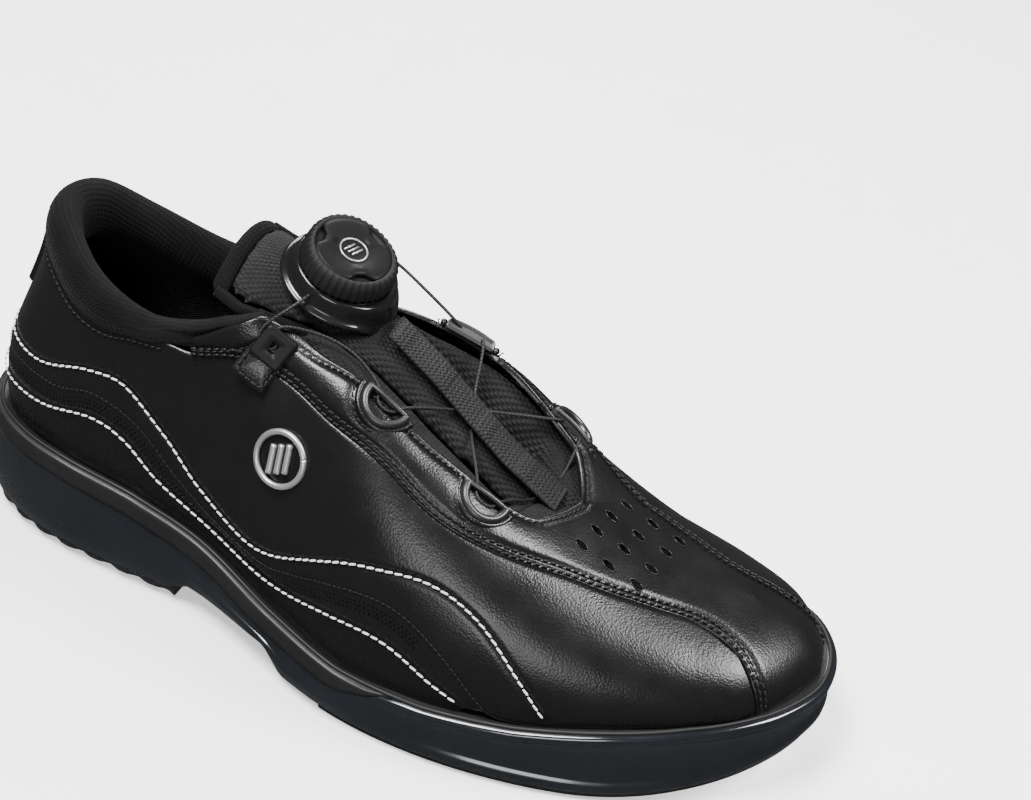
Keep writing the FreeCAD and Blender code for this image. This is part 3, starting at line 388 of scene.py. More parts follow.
def stipple(n):
    where = n.place("Object")
    return n.sum(noise(n, where, 2200), noise(n, where, 160), 0.8)


def smoothed(n):
    return noise(n, n.place("Object"), 90)


def knit(n):
    """Small ribs across with a bead in each."""
    where = n.place("UV")
    return n.product(wave(n, where, 170, "X", 0.6), wave(n, where, 250, "Y", 0.4))


def spacer(n):
    """Spacer mesh: small raised loops in crossed rows."""
    where = n.place("UV")
    rows = [wave(n, n.place("UV", turn=turn), 235) for turn in (1.05, -1.05)]
    loops = n.product(*rows)
    return n.sum(loops, noise(n, where, 1800), 0.25)


def twill(n):
    where = n.place("UV", turn=0.7)
    return n.sum(wave(n, where, 300, "X"), wave(n, where, 210, "Y"), 0.7)


def rope(n):
    return wave(n, n.place("UV", turn=0.6), 420, "X")


def pile(n):
    where = n.place("Object")
    return n.sum(noise(n, where, 3200, 6), noise(n, where, 420), 0.7)


def board(n):
    where = n.place("Object", (1, 1, 6))
    return n.sum(noise(n, where, 700), noise(n, where, 60), 0.6)


def finish(name, low, high, rough, relief, depth, patches=28.0, **fixed):
    """A material: colour between low and high, roughness between two values, and relief."""
    n = Nodes(name)
    where = n.place("Object")
    height = relief(n)
    tone = n.sum(noise(n, where, patches, 4), height, 0.25)
    n.link(n.blend(n.ramp(tone, 0, 1, 0.4, 0.85), low, high), n.shader.inputs["Base Color"])
    n.link(n.ramp(noise(n, where, patches * 3, 5), *rough), n.shader.inputs["Roughness"])
    bump = n.add("ShaderNodeBump", distance=depth * MM, strength=1.0)
    n.link(height, bump.inputs["Height"])
    n.link(bump.outputs["Normal"], n.shader.inputs["Normal"])
    for socket, value in fixed.items():
        n.shader.inputs[socket.replace("_", " ")].default_value = value
    return n.material


def grey(value, tint=0.0):
    return (value, value * (1 + tint * 0.5), value * (1 + tint))


# Slot: name of the look, darkest and lightest colour, roughness range, relief, its
# depth in mm, and shader inputs.
SLOT_LOOKS = {
    "black_leather": ("leather", grey(0.002), grey(0.004), (0.24, 0.34), grain, 0.04,
                      dict(Specular_IOR_Level=0.29)),
    "collar_knit": ("collar_knit", grey(0.0015), grey(0.005), (0.85, 0.98), knit, 0.3,
                    dict(Sheen_Weight=0.015, Specular_IOR_Level=0.08)),
    "lining_fabric": ("lining", grey(0.003), grey(0.007), (0.85, 0.98), twill, 0.2,
                      dict(Sheen_Weight=0.04, Specular_IOR_Level=0.15)),
    "footbed_foam": ("footbed", grey(0.005), grey(0.011), (0.85, 0.98), twill, 0.2,
                     dict(Sheen_Weight=0.05, Specular_IOR_Level=0.15)),
    "tongue_mesh": ("tongue_mesh", grey(0.001), grey(0.009), (0.6, 0.8), spacer, 0.4,
                    dict(Sheen_Weight=0.02, Specular_IOR_Level=0.16)),
    "webbing": ("webbing", grey(0.002), grey(0.008), (0.55, 0.7), twill, 0.25,
                dict(Sheen_Weight=0.02, Specular_IOR_Level=0.2)),
    "gloss_black": ("gloss_black", grey(0.004), grey(0.007), (0.12, 0.2), smoothed, 0.03,
                    dict(Specular_IOR_Level=0.4)),
    "axle_steel": ("axle_steel", grey(0.45), grey(0.6), (0.25, 0.4), stipple, 0.01,
                   dict(Metallic=1.0)),
    "grip_rubber": ("grip_rubber", grey(0.004), grey(0.008), (0.5, 0.65), stipple, 0.06,
                    dict(Specular_IOR_Level=0.14)),
    "cap_plastic": ("cap_plastic", grey(0.003), grey(0.005), (0.4, 0.5), stipple, 0.03,
                    dict(Specular_IOR_Level=0.08)),
    "badge_metal": ("badge_metal", grey(0.30), grey(0.48), (0.3, 0.42), stipple, 0.03,
                    dict(Metallic=0.85)),
    "lace_cord": ("lace_cord", grey(0.005), grey(0.011), (0.4, 0.55), rope, 0.08,
                  dict(Specular_IOR_Level=0.25)),
    "shell_tpu": ("shell_tpu", (0.0045, 0.0052, 0.0066), (0.007, 0.008, 0.010), (0.12, 0.2),
                  smoothed, 0.02, dict(Coat_Weight=0.3, Coat_Roughness=0.08)),
    "window_tpu": ("window_tpu", (0.012, 0.02, 0.034), (0.022, 0.034, 0.052), (0.1, 0.18),
                   smoothed, 0.05, dict(Coat_Weight=0.6, Coat_Roughness=0.05)),
    "band_foam": ("band_foam", grey(0.0045), grey(0.0075), (0.42, 0.55), stipple, 0.05,
                  dict(Specular_IOR_Level=0.35)),
    "core_foam": ("core_foam", grey(0.2), grey(0.25), (0.7, 0.8), stipple, 0.1, dict()),
    "nylon": ("nylon", grey(0.03), grey(0.045), (0.4, 0.5), stipple, 0.03, dict()),
    "fibre_board": ("fibre_board", (0.27, 0.21, 0.14), (0.36, 0.29, 0.2), (0.7, 0.85), board, 0.06,
                    dict()),
    "pad_rubber": ("pad_rubber", grey(0.004), grey(0.007), (0.5, 0.65), stipple, 0.04,
                   dict(Specular_IOR_Level=0.3)),
    "slide_microfibre": ("slide_microfibre", grey(0.74), grey(0.86, -0.02), (0.85, 0.95),
                         pile, 0.12, dict(Sheen_Weight=0.25)),
    "loop_fabric": ("loop_fabric", grey(0.02), grey(0.035), (0.9, 1.0), pile, 0.3, dict()),
    "hook_plastic": ("hook_plastic", grey(0.02), grey(0.035), (0.5, 0.6), pile, 0.3, dict()),
    "tread_rubber": ("tread_rubber", (0.006, 0.007, 0.008), (0.010, 0.011, 0.0125), (0.42, 0.55),
                     stipple, 0.04, dict(Specular_IOR_Level=0.35)),
    "stiff_board": ("stiff_board", grey(0.16), grey(0.2), (0.5, 0.6), board, 0.04, dict()),
}
LOOKS = {slot: finish(*row[:-1], **row[-1]) for slot, row in SLOT_LOOKS.items()}
LOOKS["collar_foam"] = LOOKS["collar_knit"]
WHITE_THREAD = finish("white_thread", grey(0.5), grey(0.62, -0.04), (0.6, 0.75), rope, 0.12,
                      Sheen_Weight=0.2)
BLACK_THREAD = finish("black_thread", grey(0.004), grey(0.009), (0.5, 0.65), rope, 0.12,
                      Specular_IOR_Level=0.25)
SATIN = finish("satin_black", grey(0.005), grey(0.009), (0.3, 0.42), stipple, 0.02)
# Near-black matte finish for the perforations: painted shade, laid on the leather as flat ovals
# where the holes would be.
PAINTED_HOLE_SHADE = finish("hole_painted_shade", grey(0.0015), grey(0.003), (0.9, 1.0), stipple, 0.05,
              Specular_IOR_Level=0.1)
CROSS_BAND = finish("cross_band", grey(0.36), grey(0.46), (0.8, 0.9), pile, 0.1)

SLOT_OF = {row["node"]: row["material_slot"] for row in frame["record"]["subparts"]}
for node, obj in frame["nodes"].items():
    obj.data.materials.clear()
    obj.data.materials.append(LOOKS[SLOT_OF[node]])


# ------------------------------------------------------------------ meshes


def mesh_piece(name, points, faces, uv, look, body=None):
    mesh = bpy.data.meshes.new(name)
    mesh.from_pydata((np.asarray(points, float) * MM).tolist(), [], faces)
    layer = mesh.uv_layers.new(name="UVMap")
    corner = np.empty(len(mesh.loops), int)
    mesh.loops.foreach_get("vertex_index", corner)
    layer.data.foreach_set("uv", (np.asarray(uv, float) * MM)[corner].astype(np.float32).ravel())
    mesh.polygons.foreach_set("use_smooth", np.ones(len(mesh.polygons), bool))
    mesh.materials.append(look)
    mesh.update()
    piece = bpy.data.objects.new(name, mesh)
    bpy.context.scene.collection.objects.link(piece)
    if body:
        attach(piece, body)
    return piece


def grid_uv(grid):
    along = np.array([lengths(row) for row in grid])
    across = np.array([lengths(row) for row in np.swapaxes(grid, 0, 1)]).T
    return np.stack([along, across], -1)


def grids_piece(name, grids, look, body=None, closed=False, capped=False):
    """One mesh from grids of points, welded where they meet."""
    points, faces, uv = [], [], []
    base = 0
    for grid in grids:
        rows, cols = grid.shape[:2]
        index = base + np.arange(rows * cols).reshape(rows, cols)
        wrapped = np.hstack([index, index[:, :1]]) if closed else index
        faces += np.stack([wrapped[:-1, :-1], wrapped[:-1, 1:], wrapped[1:, 1:],
                           wrapped[1:, :-1]], -1).reshape(-1, 4).tolist()
        if capped:
            faces += [index[0][::-1].tolist(), index[-1].tolist()]
        points.append(grid.reshape(-1, 3))
        uv.append(grid_uv(grid).reshape(-1, 2))
        base += rows * cols
    piece = mesh_piece(name, np.vstack(points), faces, np.vstack(uv), look, body)
    tidy = bmesh.new()
    tidy.from_mesh(piece.data)
    bmesh.ops.remove_doubles(tidy, verts=tidy.verts, dist=2e-5)
    bmesh.ops.dissolve_degenerate(tidy, edges=tidy.edges, dist=1e-6)
    bmesh.ops.recalc_face_normals(tidy, faces=tidy.faces)
    tidy.to_mesh(piece.data)
    tidy.free()
    return piece


def part(name, grids, slot, *replaced, look=None, body="shoe", closed=True, capped=True):
    """A piece in its slot's look, or another one, standing for the CAD nodes replaced."""
    piece = grids_piece(name, grids, look or LOOKS[slot], body, closed, capped)
    if replaced:
        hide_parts(*replaced)
    return piece


CIRCLE = np.linspace(0, 2 * math.pi, 97)


def circle(radius, level, middle=(0.0, 0.0)):
    return np.column_stack([middle[0] + radius * np.cos(CIRCLE),
                            middle[1] + radius * np.sin(CIRCLE), np.full(CIRCLE.shape, level)])


def tube_grid(points, radius, sides=10):
    """Rings round a line of points."""
    points = np.asarray(points, float)
    tangent = unit(np.gradient(points, axis=0))
    side = unit(np.cross(tangent[0], [0.3, 0.2, 1.0]))
    rings = []
    angle = np.linspace(0, 2 * math.pi, sides, endpoint=False)[:, None]
    for point, way in zip(points, tangent):
        side = unit(side - way * (side @ way))
        other = np.cross(way, side)
        rings.append(point + radius * (np.cos(angle) * side + np.sin(angle) * other))
    return np.array(rings)


# ------------------------------------------------------------------ upper: panels

FOLD = 1.3                                    # radius of a folded leather edge
FOLD_STEPS = np.array([0.0, 0.02, 0.08, 0.2, 0.38, 0.62, 1.0])
SHORTEST_RUN = 3.4


def fold_fall(distance):
    """Share of the fall at a distance from a folded edge: 1 at the edge, 0 inside."""
    near = 1 - np.clip(distance / FOLD, 0, 1)
    return 1 - np.sqrt(np.clip(1 - near ** 2, 0, 1))


def positions(run, first, last, count):
    """Shares from 0 to 1 over each run, closer together at the folded edges."""
    near = FOLD_STEPS[None] * FOLD / np.maximum(run, SHORTEST_RUN)[:, None]
    low = near[:, -1:] if first else near[:, :1] * 0
    high = near[:, -1:] if last else near[:, :1] * 0
    middle = low + (1 - high - low) * np.linspace(0, 1, count)[None]
    parts = [near[:, :-1]] if first else []
    parts.append(middle)
    if last:
        parts.append(1 - near[:, -2::-1])
    return np.hstack(parts)


def panel(low, high, lift, depth, folds=(), along=320, across=48, fade=None, puff=0.0):
    """Grid between two routes, lift above the surface, falling by depth at its folds."""
    s = np.linspace(0, 1, along)
    if "start" in folds:
        s = np.concatenate([np.array([0, 0.1, 0.3, 0.6]) * 1.2 / along, s[1:]])
    a, b = low(s), high(s)
    probe = np.linspace(0, 1, 9)[None, :, None]
    ribs = a[:, None] * (1 - probe) + b[:, None] * probe
    run = np.linalg.norm(np.diff(upper(ribs[..., 0], ribs[..., 1]), axis=1), axis=2).sum(1)
    w = positions(run, "low" in folds, "high" in folds, across)
    spots = a[:, None] * (1 - w[..., None]) + b[:, None] * w[..., None]
    fall = np.zeros(w.shape)
    if "low" in folds:
        fall = np.maximum(fall, fold_fall(w * run[:, None]))
    if "high" in folds:
        share = 1.0 if fade is None else fade(s)[:, None]
        fall = np.maximum(fall, fold_fall((1 - w) * run[:, None]) * share)
    if "start" in folds:
        fall = np.maximum(fall, fold_fall(lengths(upper(a[:, 0], a[:, 1])))[:, None])
    ends = np.clip(s / 0.12, 0, 1) * np.clip((1 - s) / 0.3, 0, 1)
    ends = (ends ** 2 * (3 - 2 * ends))[:, None]
    swell = puff * np.sin(math.pi * w) * np.clip(run[:, None] / 24, 0, 1) * ends
    return skin(spots[..., 0], spots[..., 1], lift - depth * fall + swell)


def raised(points, by):
    return [(k, v + by) for k, v in points]


LIFTS = {"foxing": 0.0, "side_band": 0.35, "quarter": 0.7, "vamp": 1.3}
TUCK = 0.018                                  # how far a panel runs on under the next one


def fade_at_tip(s):
    """The throat's fold dies out where the two flaps meet."""
    return 1 - np.clip((s - 0.92) / 0.08, 0, 1) ** 2


def side_panels(side):
    turn, toe_seam, _ = SIDES[side]
    foot = [(k, -0.01) for k, _ in LOWER_SEAM]
    foxing = panel(path(turn(foot)), path(turn(raised(LOWER_SEAM, TUCK))), LIFTS["foxing"], 0.5,
                   ("start",), across=16)
    side_band = panel(path(turn(LOWER_SEAM)), path(turn(raised(BAND_SEAM, TUCK))),
                      LIFTS["side_band"], 0.8, ("low", "start"), across=22)
    ground_line = BAND_SEAM + [(8.2, -0.01), (8.9, -0.01), (9.6, -0.01),
                               (toe_seam[3][0] - 0.5, -0.01), (toe_seam[5][0], -0.01)]
    top_line = raised(KNIT_SEAM + VAMP_SEAM[:-1] + toe_seam[:4], TUCK * 0.7)
    quarter = panel(path(turn(ground_line)), path(turn(top_line)), LIFTS["quarter"], 1.2,
                    ("low", "high", "start"), along=420, across=72)
    made = []
    for name, grid in (("foxing", foxing), ("side_band", side_band), ("quarter", quarter)):
        made.append(part(f"{name}_{side}_panel", [grid], "black_leather", f"{name}_{side}",
                         closed=False, capped=False))
    return made


# The lateral flap's rear corner stands up over the collar, beside the reel.
FLAP_CORNER = [(3.9, 1.02), (4.5, 1.09), (5.0, 1.11), (5.35, 0.96)]


def vamp_panel():
    grids = []
    for side, (turn, toe_seam, throat) in SIDES.items():
        if side == "lateral":
            throat = FLAP_CORNER + throat[4:]
        grids.append(panel(path(turn(VAMP_SEAM)), path(turn(throat)), LIFTS["vamp"], 1.9,
                           ("low", "high", "start"), along=300, across=40, fade=fade_at_tip,
                           puff=1.3))
        grids.append(panel(path(turn(toe_seam)), path(turn(CREST), corners=True),
                           LIFTS["vamp"], 1.9, ("low",), along=300, across=40))
    return part("vamp_panel", grids, "black_leather", "vamp", closed=False, capped=False)


# Across the padded collar, from its outside seam over the top to its inside edge:
# v, height off the surface, rise over the top edge.
COLLAR = [(0.845, -0.8, 0), (0.855, 0.5, 0), (0.88, 1.4, 0), (0.92, 1.9, 0), (0.955, 1.7, 0),
          (0.985, 0.8, 0.2), (1.0, -1.2, 1.2), (1.0, -3.8, 1.9), (1.0, -6.4, 1.2),
          (0.985, -8.6, 0.2), (0.95, -9.8, 0), (0.90, -10.2, 0), (0.85, -9.6, 0),
          (0.80, -8.0, 0), (0.76, -5.6, 0), (0.74, -4.4, 0)]
COLLAR_END, COLLAR_THIN = 5.0, 3.3


def collar_piece():
    """The padded knit collar, thinned to its inner half where the flaps cover it."""
    k = np.linspace(-COLLAR_END, COLLAR_END, 260)[:, None]
    share = np.linspace(0, len(COLLAR) - 1, 64)
    v, height, rise = smooth(COLLAR, share).T
    reach = np.abs(k)
    seam = np.interp(reach, *zip(*KNIT_SEAM)) - 0.006
    v = np.where(v < 0.99, seam + (v - 0.845) * (1 - seam) / 0.155, v)
    inner = (share > 8)[None]
    v = np.where(inner, np.clip(smooth(COLLAR, share)[:, 0], 0, 1)[None], v)
    outer_cut = np.clip((COLLAR_THIN + 0.6 - reach) / 0.6, 0, 1)
    inner_cut = np.clip((COLLAR_END - reach) / 0.7, 0, 1) ** 0.5
    height = np.where(height > 0, height * outer_cut - 1.0 * (1 - outer_cut), height)
    height = np.where(height < -2.4, -2.4 + (height + 2.4) * inner_cut, height)
    k = np.broadcast_to(k, v.shape)
    up = unit(upper(k, np.full_like(v, 1.0)) - upper(k, np.full_like(v, 0.97)))
    lean = np.interp(k, (3.2, 4.3, 5.0), (0, 5.5, 7.0)) * np.clip((v - 0.86) / 0.14, 0, 1)
    points = skin(k, v, height) + up * (rise * inner_cut + lean)[..., None]
    piece = part("collar_roll", [points], "collar_knit", "heel_collar", "collar_pad",
                 closed=False, capped=False)


LINING_LIFT = -4.4


def lining_piece():
    """Cloth inside the shoe, closed below by rows that run in under the footbed."""
    rear = [(0.0, 0.8), (2.0, 0.8), (4.0, 0.84), (6.0, 0.68), (8.0, 0.72), (9.0, 0.97)]
    front = [(k, 0.97) for k in (9.0, 10.0, 11.0, 12.0)]
    grids = []
    for turn in (same, mirrored):
        for high, along in ((rear, 120), (front, 60)):
            low = [(k, 0.03) for k, _ in high]
            grids.append(panel(path(turn(low)), path(turn(high)), LINING_LIFT, 0, along=along,
                               across=30))
    floor = [(2.0, 6.0), (2.2, 8.5), (4.0, 12.5), (4.6, 14.5), (4.5, 18.0)]
    rows = np.array([ring(lambda x, rise=rise: edge_height(x) + rise, inset)
                     for rise, inset in floor])
    grids.append(np.hstack([rows, rows[:, :1]]))
    part("inner_lining", grids, "lining_fabric", "quarter_lining", "vamp_lining",
         closed=False, capped=False)


def heel_tab_piece():
    """Pull tab up the back of the heel, folded in at all four edges."""
    low = path([(-0.34, 0.56), (0.0, 0.55), (0.34, 0.56)])
    high = path([(-0.30, 0.955), (0.0, 0.965), (0.30, 0.955)])
    grid = panel(low, high, 2.4, 2.6, ("low", "high", "start"), along=60, across=40)
    grid_end = fold_fall(lengths(grid[:, 20])[::-1])[:, None]
    out = normal(np.zeros(1), np.full(1, 0.75))[0]
    grid = grid - out * (2.6 * grid_end)[..., None]
    part("heel_tab_panel", [grid], "collar_knit", "heel_tab", look=LOOKS["black_leather"],
         closed=False, capped=False)


# ------------------------------------------------------------------ stitches, and dark discs painted as the shade of holes


def stitch_shape():
    """A plump little capsule along X, one long, for every stitch."""
    shares = np.array([-1.0, -0.93, -0.72, -0.3, 0.3, 0.72, 0.93, 1.0])
    widths = np.array([0.15, 0.55, 0.9, 1.0, 1.0, 0.9, 0.55, 0.15])
    angle = np.linspace(0, 2 * math.pi, 8, endpoint=False)
    rings = [np.column_stack([np.full(8, s), w * np.cos(angle), w * np.sin(angle)])
             for s, w in zip(shares, widths)]
    return np.array(rings)


STITCH = stitch_shape()


LINE_SAMPLES = 900


def surface_line(route):
    """Points and normals along a route on the bare surface."""
    spots = path(route)(np.linspace(0, 1, LINE_SAMPLES))
    return upper(spots[:, 0], spots[:, 1]), normal(spots[:, 0], spots[:, 1])


def shifted(points, normals, aside, height):
    """The line moved sideways in the surface (to the left of its run) and up."""
    tangent = unit(np.gradient(points, axis=0))
    left = np.cross(normals, tangent)
    return points + left * aside + normals * height


def stitches(points, normals, pitch=3.1, length=2.6, radius=0.36, slant=0.12):
    """Grids of stitches spaced along a line."""
    run = lengths(points)
    marks = np.arange(pitch / 2, run[-1] - pitch / 2, pitch)
    a, b = (sampled(points, run, marks + end * length / 2) for end in (-1, 1))
    up = unit(sampled(normals, run, marks))
    way = unit(b - a)
    side = np.cross(up, way)
    way = unit(way + side * slant)
    side = np.cross(up, way)
    middle = (a + b) / 2
    grids = []
    for m, x, y, z in zip(middle, way, side, up):
        grids.append(m + STITCH[..., :1] * x * length / 2
                     + (STITCH[..., 1:2] * y + STITCH[..., 2:] * z) * radius)
    return grids


def rows_on(routes, aside, height, **style):
    """Stitches beside each route; returns the grids and the lines they lie on."""
    grids, lines = [], []
    for route, side in routes:
        points, normals = surface_line(route)
        line = shifted(points, normals, aside * side, height)
        grids += stitches(line, normals, **style)
        lines.append(line)
    return grids, lines


def both(route_of):
    """A route on both sides, with the sign that keeps "aside" towards the top."""
    return [(route_of("lateral"), 1), (mirrored(route_of("medial")), -1)]


def sink(pieces, lines, depth=0.4, width=1.3):
    """Presses the leather down along stitch lines."""
    spots = np.vstack(lines)
    tree = kdtree.KDTree(len(spots))
    for i, spot in enumerate(spots):
        tree.insert(spot * MM, i)
    tree.balance()
    for piece in pieces:
        mesh = piece.data
        moves = []
        for vertex in mesh.vertices:
            distance = tree.find(vertex.co)[2] / MM
            if distance < 3.2 * width:
                fall = depth * math.exp(-(distance / width) ** 2)
                moves.append((vertex.index, vertex.co - vertex.normal * fall * MM))
        for index, spot in moves:
            mesh.vertices[index].co = spot
        mesh.update()


def discs(centres, normals, ways, long_radius, short_radius, height):
    """Small flat ovals at a height above the surface; the perforations use them as painted shade.
    """
    angle = np.linspace(0, 2 * math.pi, 16, endpoint=False)[:, None]
    grids = []
    for centre, up, way in zip(centres, normals, ways):
        rim = (np.cos(angle) * way * long_radius
               + np.sin(angle) * np.cross(up, way) * short_radius)
        grids.append(np.array([centre + up * height + share * rim
                               for share in (1.0, 0.8, 0.4, 0.02)]))
    return grids


# ------------------------------------------------------------------ tongue

CREST_LINE = [(-66, 128), (-58, 125.5), (-44, 121.5), (-28, 116.5), (-10, 109), (6, 98.5),
              (19, 88.5), (34, 77), (53, 66)]
TONGUE_MIDDLE = SIDE_SHIFT + 0.5
TONGUE_HALF, TONGUE_THICK, TONGUE_DROP = 14.0, 6.0, 1.6
TONGUE_CROWN, TONGUE_TILT, TONGUE_TAPER = 3.5, 0.12, 0.7


def crest_height(x, side=0.0):
    """Height of the instep line, side being the distance from the tongue's middle."""
    return table(CREST_LINE, x) + TONGUE_TILT * side - TONGUE_CROWN * (side / TONGUE_HALF) ** 2


def tongue_taper(x):
    return table([(-66, 1.32), (-56, 1.38), (-46, 1.25), (-30, 1.0), (10, 1.0),
                  (53, TONGUE_TAPER)], x)


def slab_section(x, half, top, thick, around=40):
    """One rounded section across the tongue: a flat oval that follows the crown."""
    turn = np.linspace(0, 2 * math.pi, around, endpoint=False)
    round_end = thick / 2
    side = np.cos(turn)
    side = np.sign(side) * np.abs(side) ** 0.75 * half * tongue_taper(x)
    level = np.sign(np.sin(turn)) * np.abs(np.sin(turn)) ** 0.6 * round_end
    z = crest_height(x, side) + top - round_end + level
    return np.column_stack([np.full(around, x), TONGUE_MIDDLE + side, z])


def slab(x_low, x_high, half, top, thick, rows=90):
    """Closed slab along the instep line with rounded ends."""
    x = np.linspace(x_low, x_high, rows)
    end = np.minimum(x - x_low, x_high - x)
    close = np.sqrt(np.clip(1 - (1 - np.clip(end / (thick / 2), 0, 1)) ** 2, 0.02, 1))
    return np.array([slab_section(a, half - (1 - c) * 1.5, top - (1 - c) * thick / 2,
                                  thick * c) for a, c in zip(x, close)])


CLOTH_PRESSURE, CLOTH_FRAMES = 4.0, 20


def inflate(piece, cap):
    """Cloth under a little pressure; no point ends more than cap mm from its start."""
    source = np.array([v.co for v in piece.data.vertices])
    cloth = piece.modifiers.new("padding", "CLOTH")
    cloth.settings.use_pressure = True
    cloth.settings.uniform_pressure_force = CLOTH_PRESSURE
    cloth.settings.effector_weights.gravity = 0.0
    scene = bpy.context.scene
    for step in range(1, CLOTH_FRAMES + 1):
        scene.frame_set(step)
    evaluated = piece.evaluated_get(bpy.context.evaluated_depsgraph_get())
    moved = np.array([v.co for v in evaluated.data.vertices])
    piece.modifiers.remove(cloth)
    scene.frame_set(1)
    move = moved - source
    size = np.linalg.norm(move, axis=1, keepdims=True)
    move *= np.minimum(1, cap * MM / np.maximum(size, 1e-9))
    piece.data.vertices.foreach_set("co", (source + move).astype(np.float32).ravel())
    piece.data.update()


def flat_uv(piece):
    """UVs straight down onto the piece, for its weave."""
    mesh = piece.data
    layer = mesh.uv_layers.get("UVMap") or mesh.uv_layers.new(name="UVMap")
    corner = np.empty(len(mesh.loops), int)
    mesh.loops.foreach_get("vertex_index", corner)
    places = np.array([v.co[:2] for v in mesh.vertices])
    layer.data.foreach_set("uv", places[corner].astype(np.float32).ravel())


def apply_modifiers(piece):
    evaluated = piece.evaluated_get(bpy.context.evaluated_depsgraph_get())
    made = bpy.data.meshes.new_from_object(evaluated)
    piece.modifiers.clear()
    piece.data = made


PAD_SHRINK = 0.9                              # how much smaller the pad starts, to be filled
PAD_VOXEL = 1.9


def tongue_pad_piece():
    rest = slab(-62.5, 49, TONGUE_HALF - PAD_SHRINK, -TONGUE_DROP - PAD_SHRINK,
                TONGUE_THICK - 2 * PAD_SHRINK)
    piece = grids_piece("tongue_cushion", [rest], LOOKS["tongue_mesh"], closed=True, capped=True)
    remesh = piece.modifiers.new("even", "REMESH")
    remesh.mode = "VOXEL"
    remesh.voxel_size = PAD_VOXEL * MM
    apply_modifiers(piece)
    inflate(piece, PAD_SHRINK * 1.05)
    soft = piece.modifiers.new("soft", "SMOOTH")
    soft.factor, soft.iterations = 0.5, 5
    finer = piece.modifiers.new("finer", "SUBSURF")
    finer.levels = finer.render_levels = 1
    apply_modifiers(piece)
    piece.data.polygons.foreach_set("use_smooth", np.ones(len(piece.data.polygons), bool))
    flat_uv(piece)
    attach(piece, "tongue")
    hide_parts("tongue_pad")


def gusset_pieces():
    """Padded mesh cloth between the tongue's edges and the underside of the flaps."""
    x = np.linspace(-50, 63, 150)
    closing = 1 - np.clip((x - 40) / 9, 0, 1)
    level = np.where(x < 44, crest_height(x) - TONGUE_DROP - 2.6,
                     table([(44, 66.9), (63, 64)], x))
    for side, sign in (("lateral", -1), ("medial", 1)):
        turn, _, throat = SIDES[side]
        route = path(turn(raised(throat, -0.05)))(np.linspace(0, 1, 400))
        under = skin(route[:, 0], np.minimum(route[:, 1], 0.96), -2.6)
        order = np.argsort(under[:, 0])
        outer = np.column_stack([x, np.interp(x, under[order, 0], under[order, 1]),
                                 np.interp(x, under[order, 0], under[order, 2])])
        edge = sign * (TONGUE_HALF - 1.2) * tongue_taper(x) * closing
        inner = np.column_stack([x, TONGUE_MIDDLE + edge,
                                 level + crest_height(x, edge) - crest_height(x)])
        w = np.linspace(0, 1, 24)[None, :, None]
        puff = np.sin(w * math.pi) * np.array([0, 0, 1.6]) * (x < 62)[:, None, None]
        grid = inner[:, None] * (1 - w) + outer[:, None] * w + puff
        piece = part(f"gusset_{side}", [grid], "tongue_mesh", body=None, closed=False,
                     capped=False)
        flat_uv(piece)
        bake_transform(piece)


def tongue_binding_piece():
    """Roll across the tongue's top edge, running on as piping down both sides."""
    grids = [slab(-66.5, -61.4, TONGUE_HALF + 0.4, -TONGUE_DROP + 0.35, TONGUE_THICK + 0.7,
                  rows=26)]
    x = np.linspace(-64.5, -34, 60)
    for sign in (-1, 1):
        side = sign * TONGUE_HALF * tongue_taper(x)
        edge = np.column_stack([x, TONGUE_MIDDLE + side,
                                crest_height(x, side) - TONGUE_DROP - TONGUE_THICK / 2])
        grids.append(tube_grid(edge, 1.9, 14))
    part("tongue_top_roll", grids, "collar_knit", "tongue_binding", body="tongue")


WEB_TOP, WEB_THICK, WEB_HALF = 3.0, 1.0, 5.4
WEB_END = 54
RUNG_BOXES = (-7.0, 8.0, 24.5, 40.0)


def webbing_piece():
    """Woven tape down the tongue: cross ribs, and humps where it is tacked down."""
    x = np.linspace(-10, WEB_END, 480)
    rib = 0.2 * np.sin(x * 2 * math.pi / 1.3)
    rung = np.zeros(x.shape)
    for start in RUNG_BOXES:
        rung += 1.1 * np.exp(-((x - start - 0.8) / 2.2) ** 8)
    rows = []
    across = np.linspace(-1, 1, 21)
    edge = np.sqrt(np.clip(1 - np.abs(across) ** 6, 0, 1))
    for a, lump in zip(x, rib + rung):
        side = across * WEB_HALF
        top = crest_height(a, side) + WEB_TOP + (lump * 0.5) * edge
        under = crest_height(a, side[::-1]) + WEB_TOP - WEB_THICK
        upper_row = np.column_stack([np.full(21, a), TONGUE_MIDDLE + side, top])
        lower_row = np.column_stack([np.full(21, a), TONGUE_MIDDLE + side[::-1], under])
        rows.append(np.vstack([upper_row, lower_row]))
    part("tongue_tape", [np.array(rows)], "webbing", "tongue_webbing", body="tongue")
    tack = []
    for start in RUNG_BOXES:
        for offset in (0.0, 1.6):
            y = np.linspace(-4.2, 4.2, 60)
            line = np.column_stack([np.full(60, start + offset), TONGUE_MIDDLE + y,
                                    crest_height(start + offset, y) + WEB_TOP + 0.25])
            up = np.tile([0.45, 0.1, 0.88], (60, 1))
            tack += stitches(line, up, pitch=1.5, length=1.3, radius=0.2, slant=0.3)
    part("tape_tacks", tack, "webbing", look=BLACK_THREAD, body="tongue")


# ------------------------------------------------------------------ reel

REEL_TILT, REEL_LEAN = math.radians(20), math.radians(7)
REEL_BASE = np.array([-33.0, 4.0 + SIDE_SHIFT, 119.0])
REEL_TURN = np.array(Matrix.Rotation(REEL_TILT, 3, "Y") @ Matrix.Rotation(REEL_LEAN, 3, "X"))


def on_reel(points):
    """Points given round the reel's axis, in the shoe's frame."""
    return np.asarray(points, float) @ REEL_TURN.T + REEL_BASE


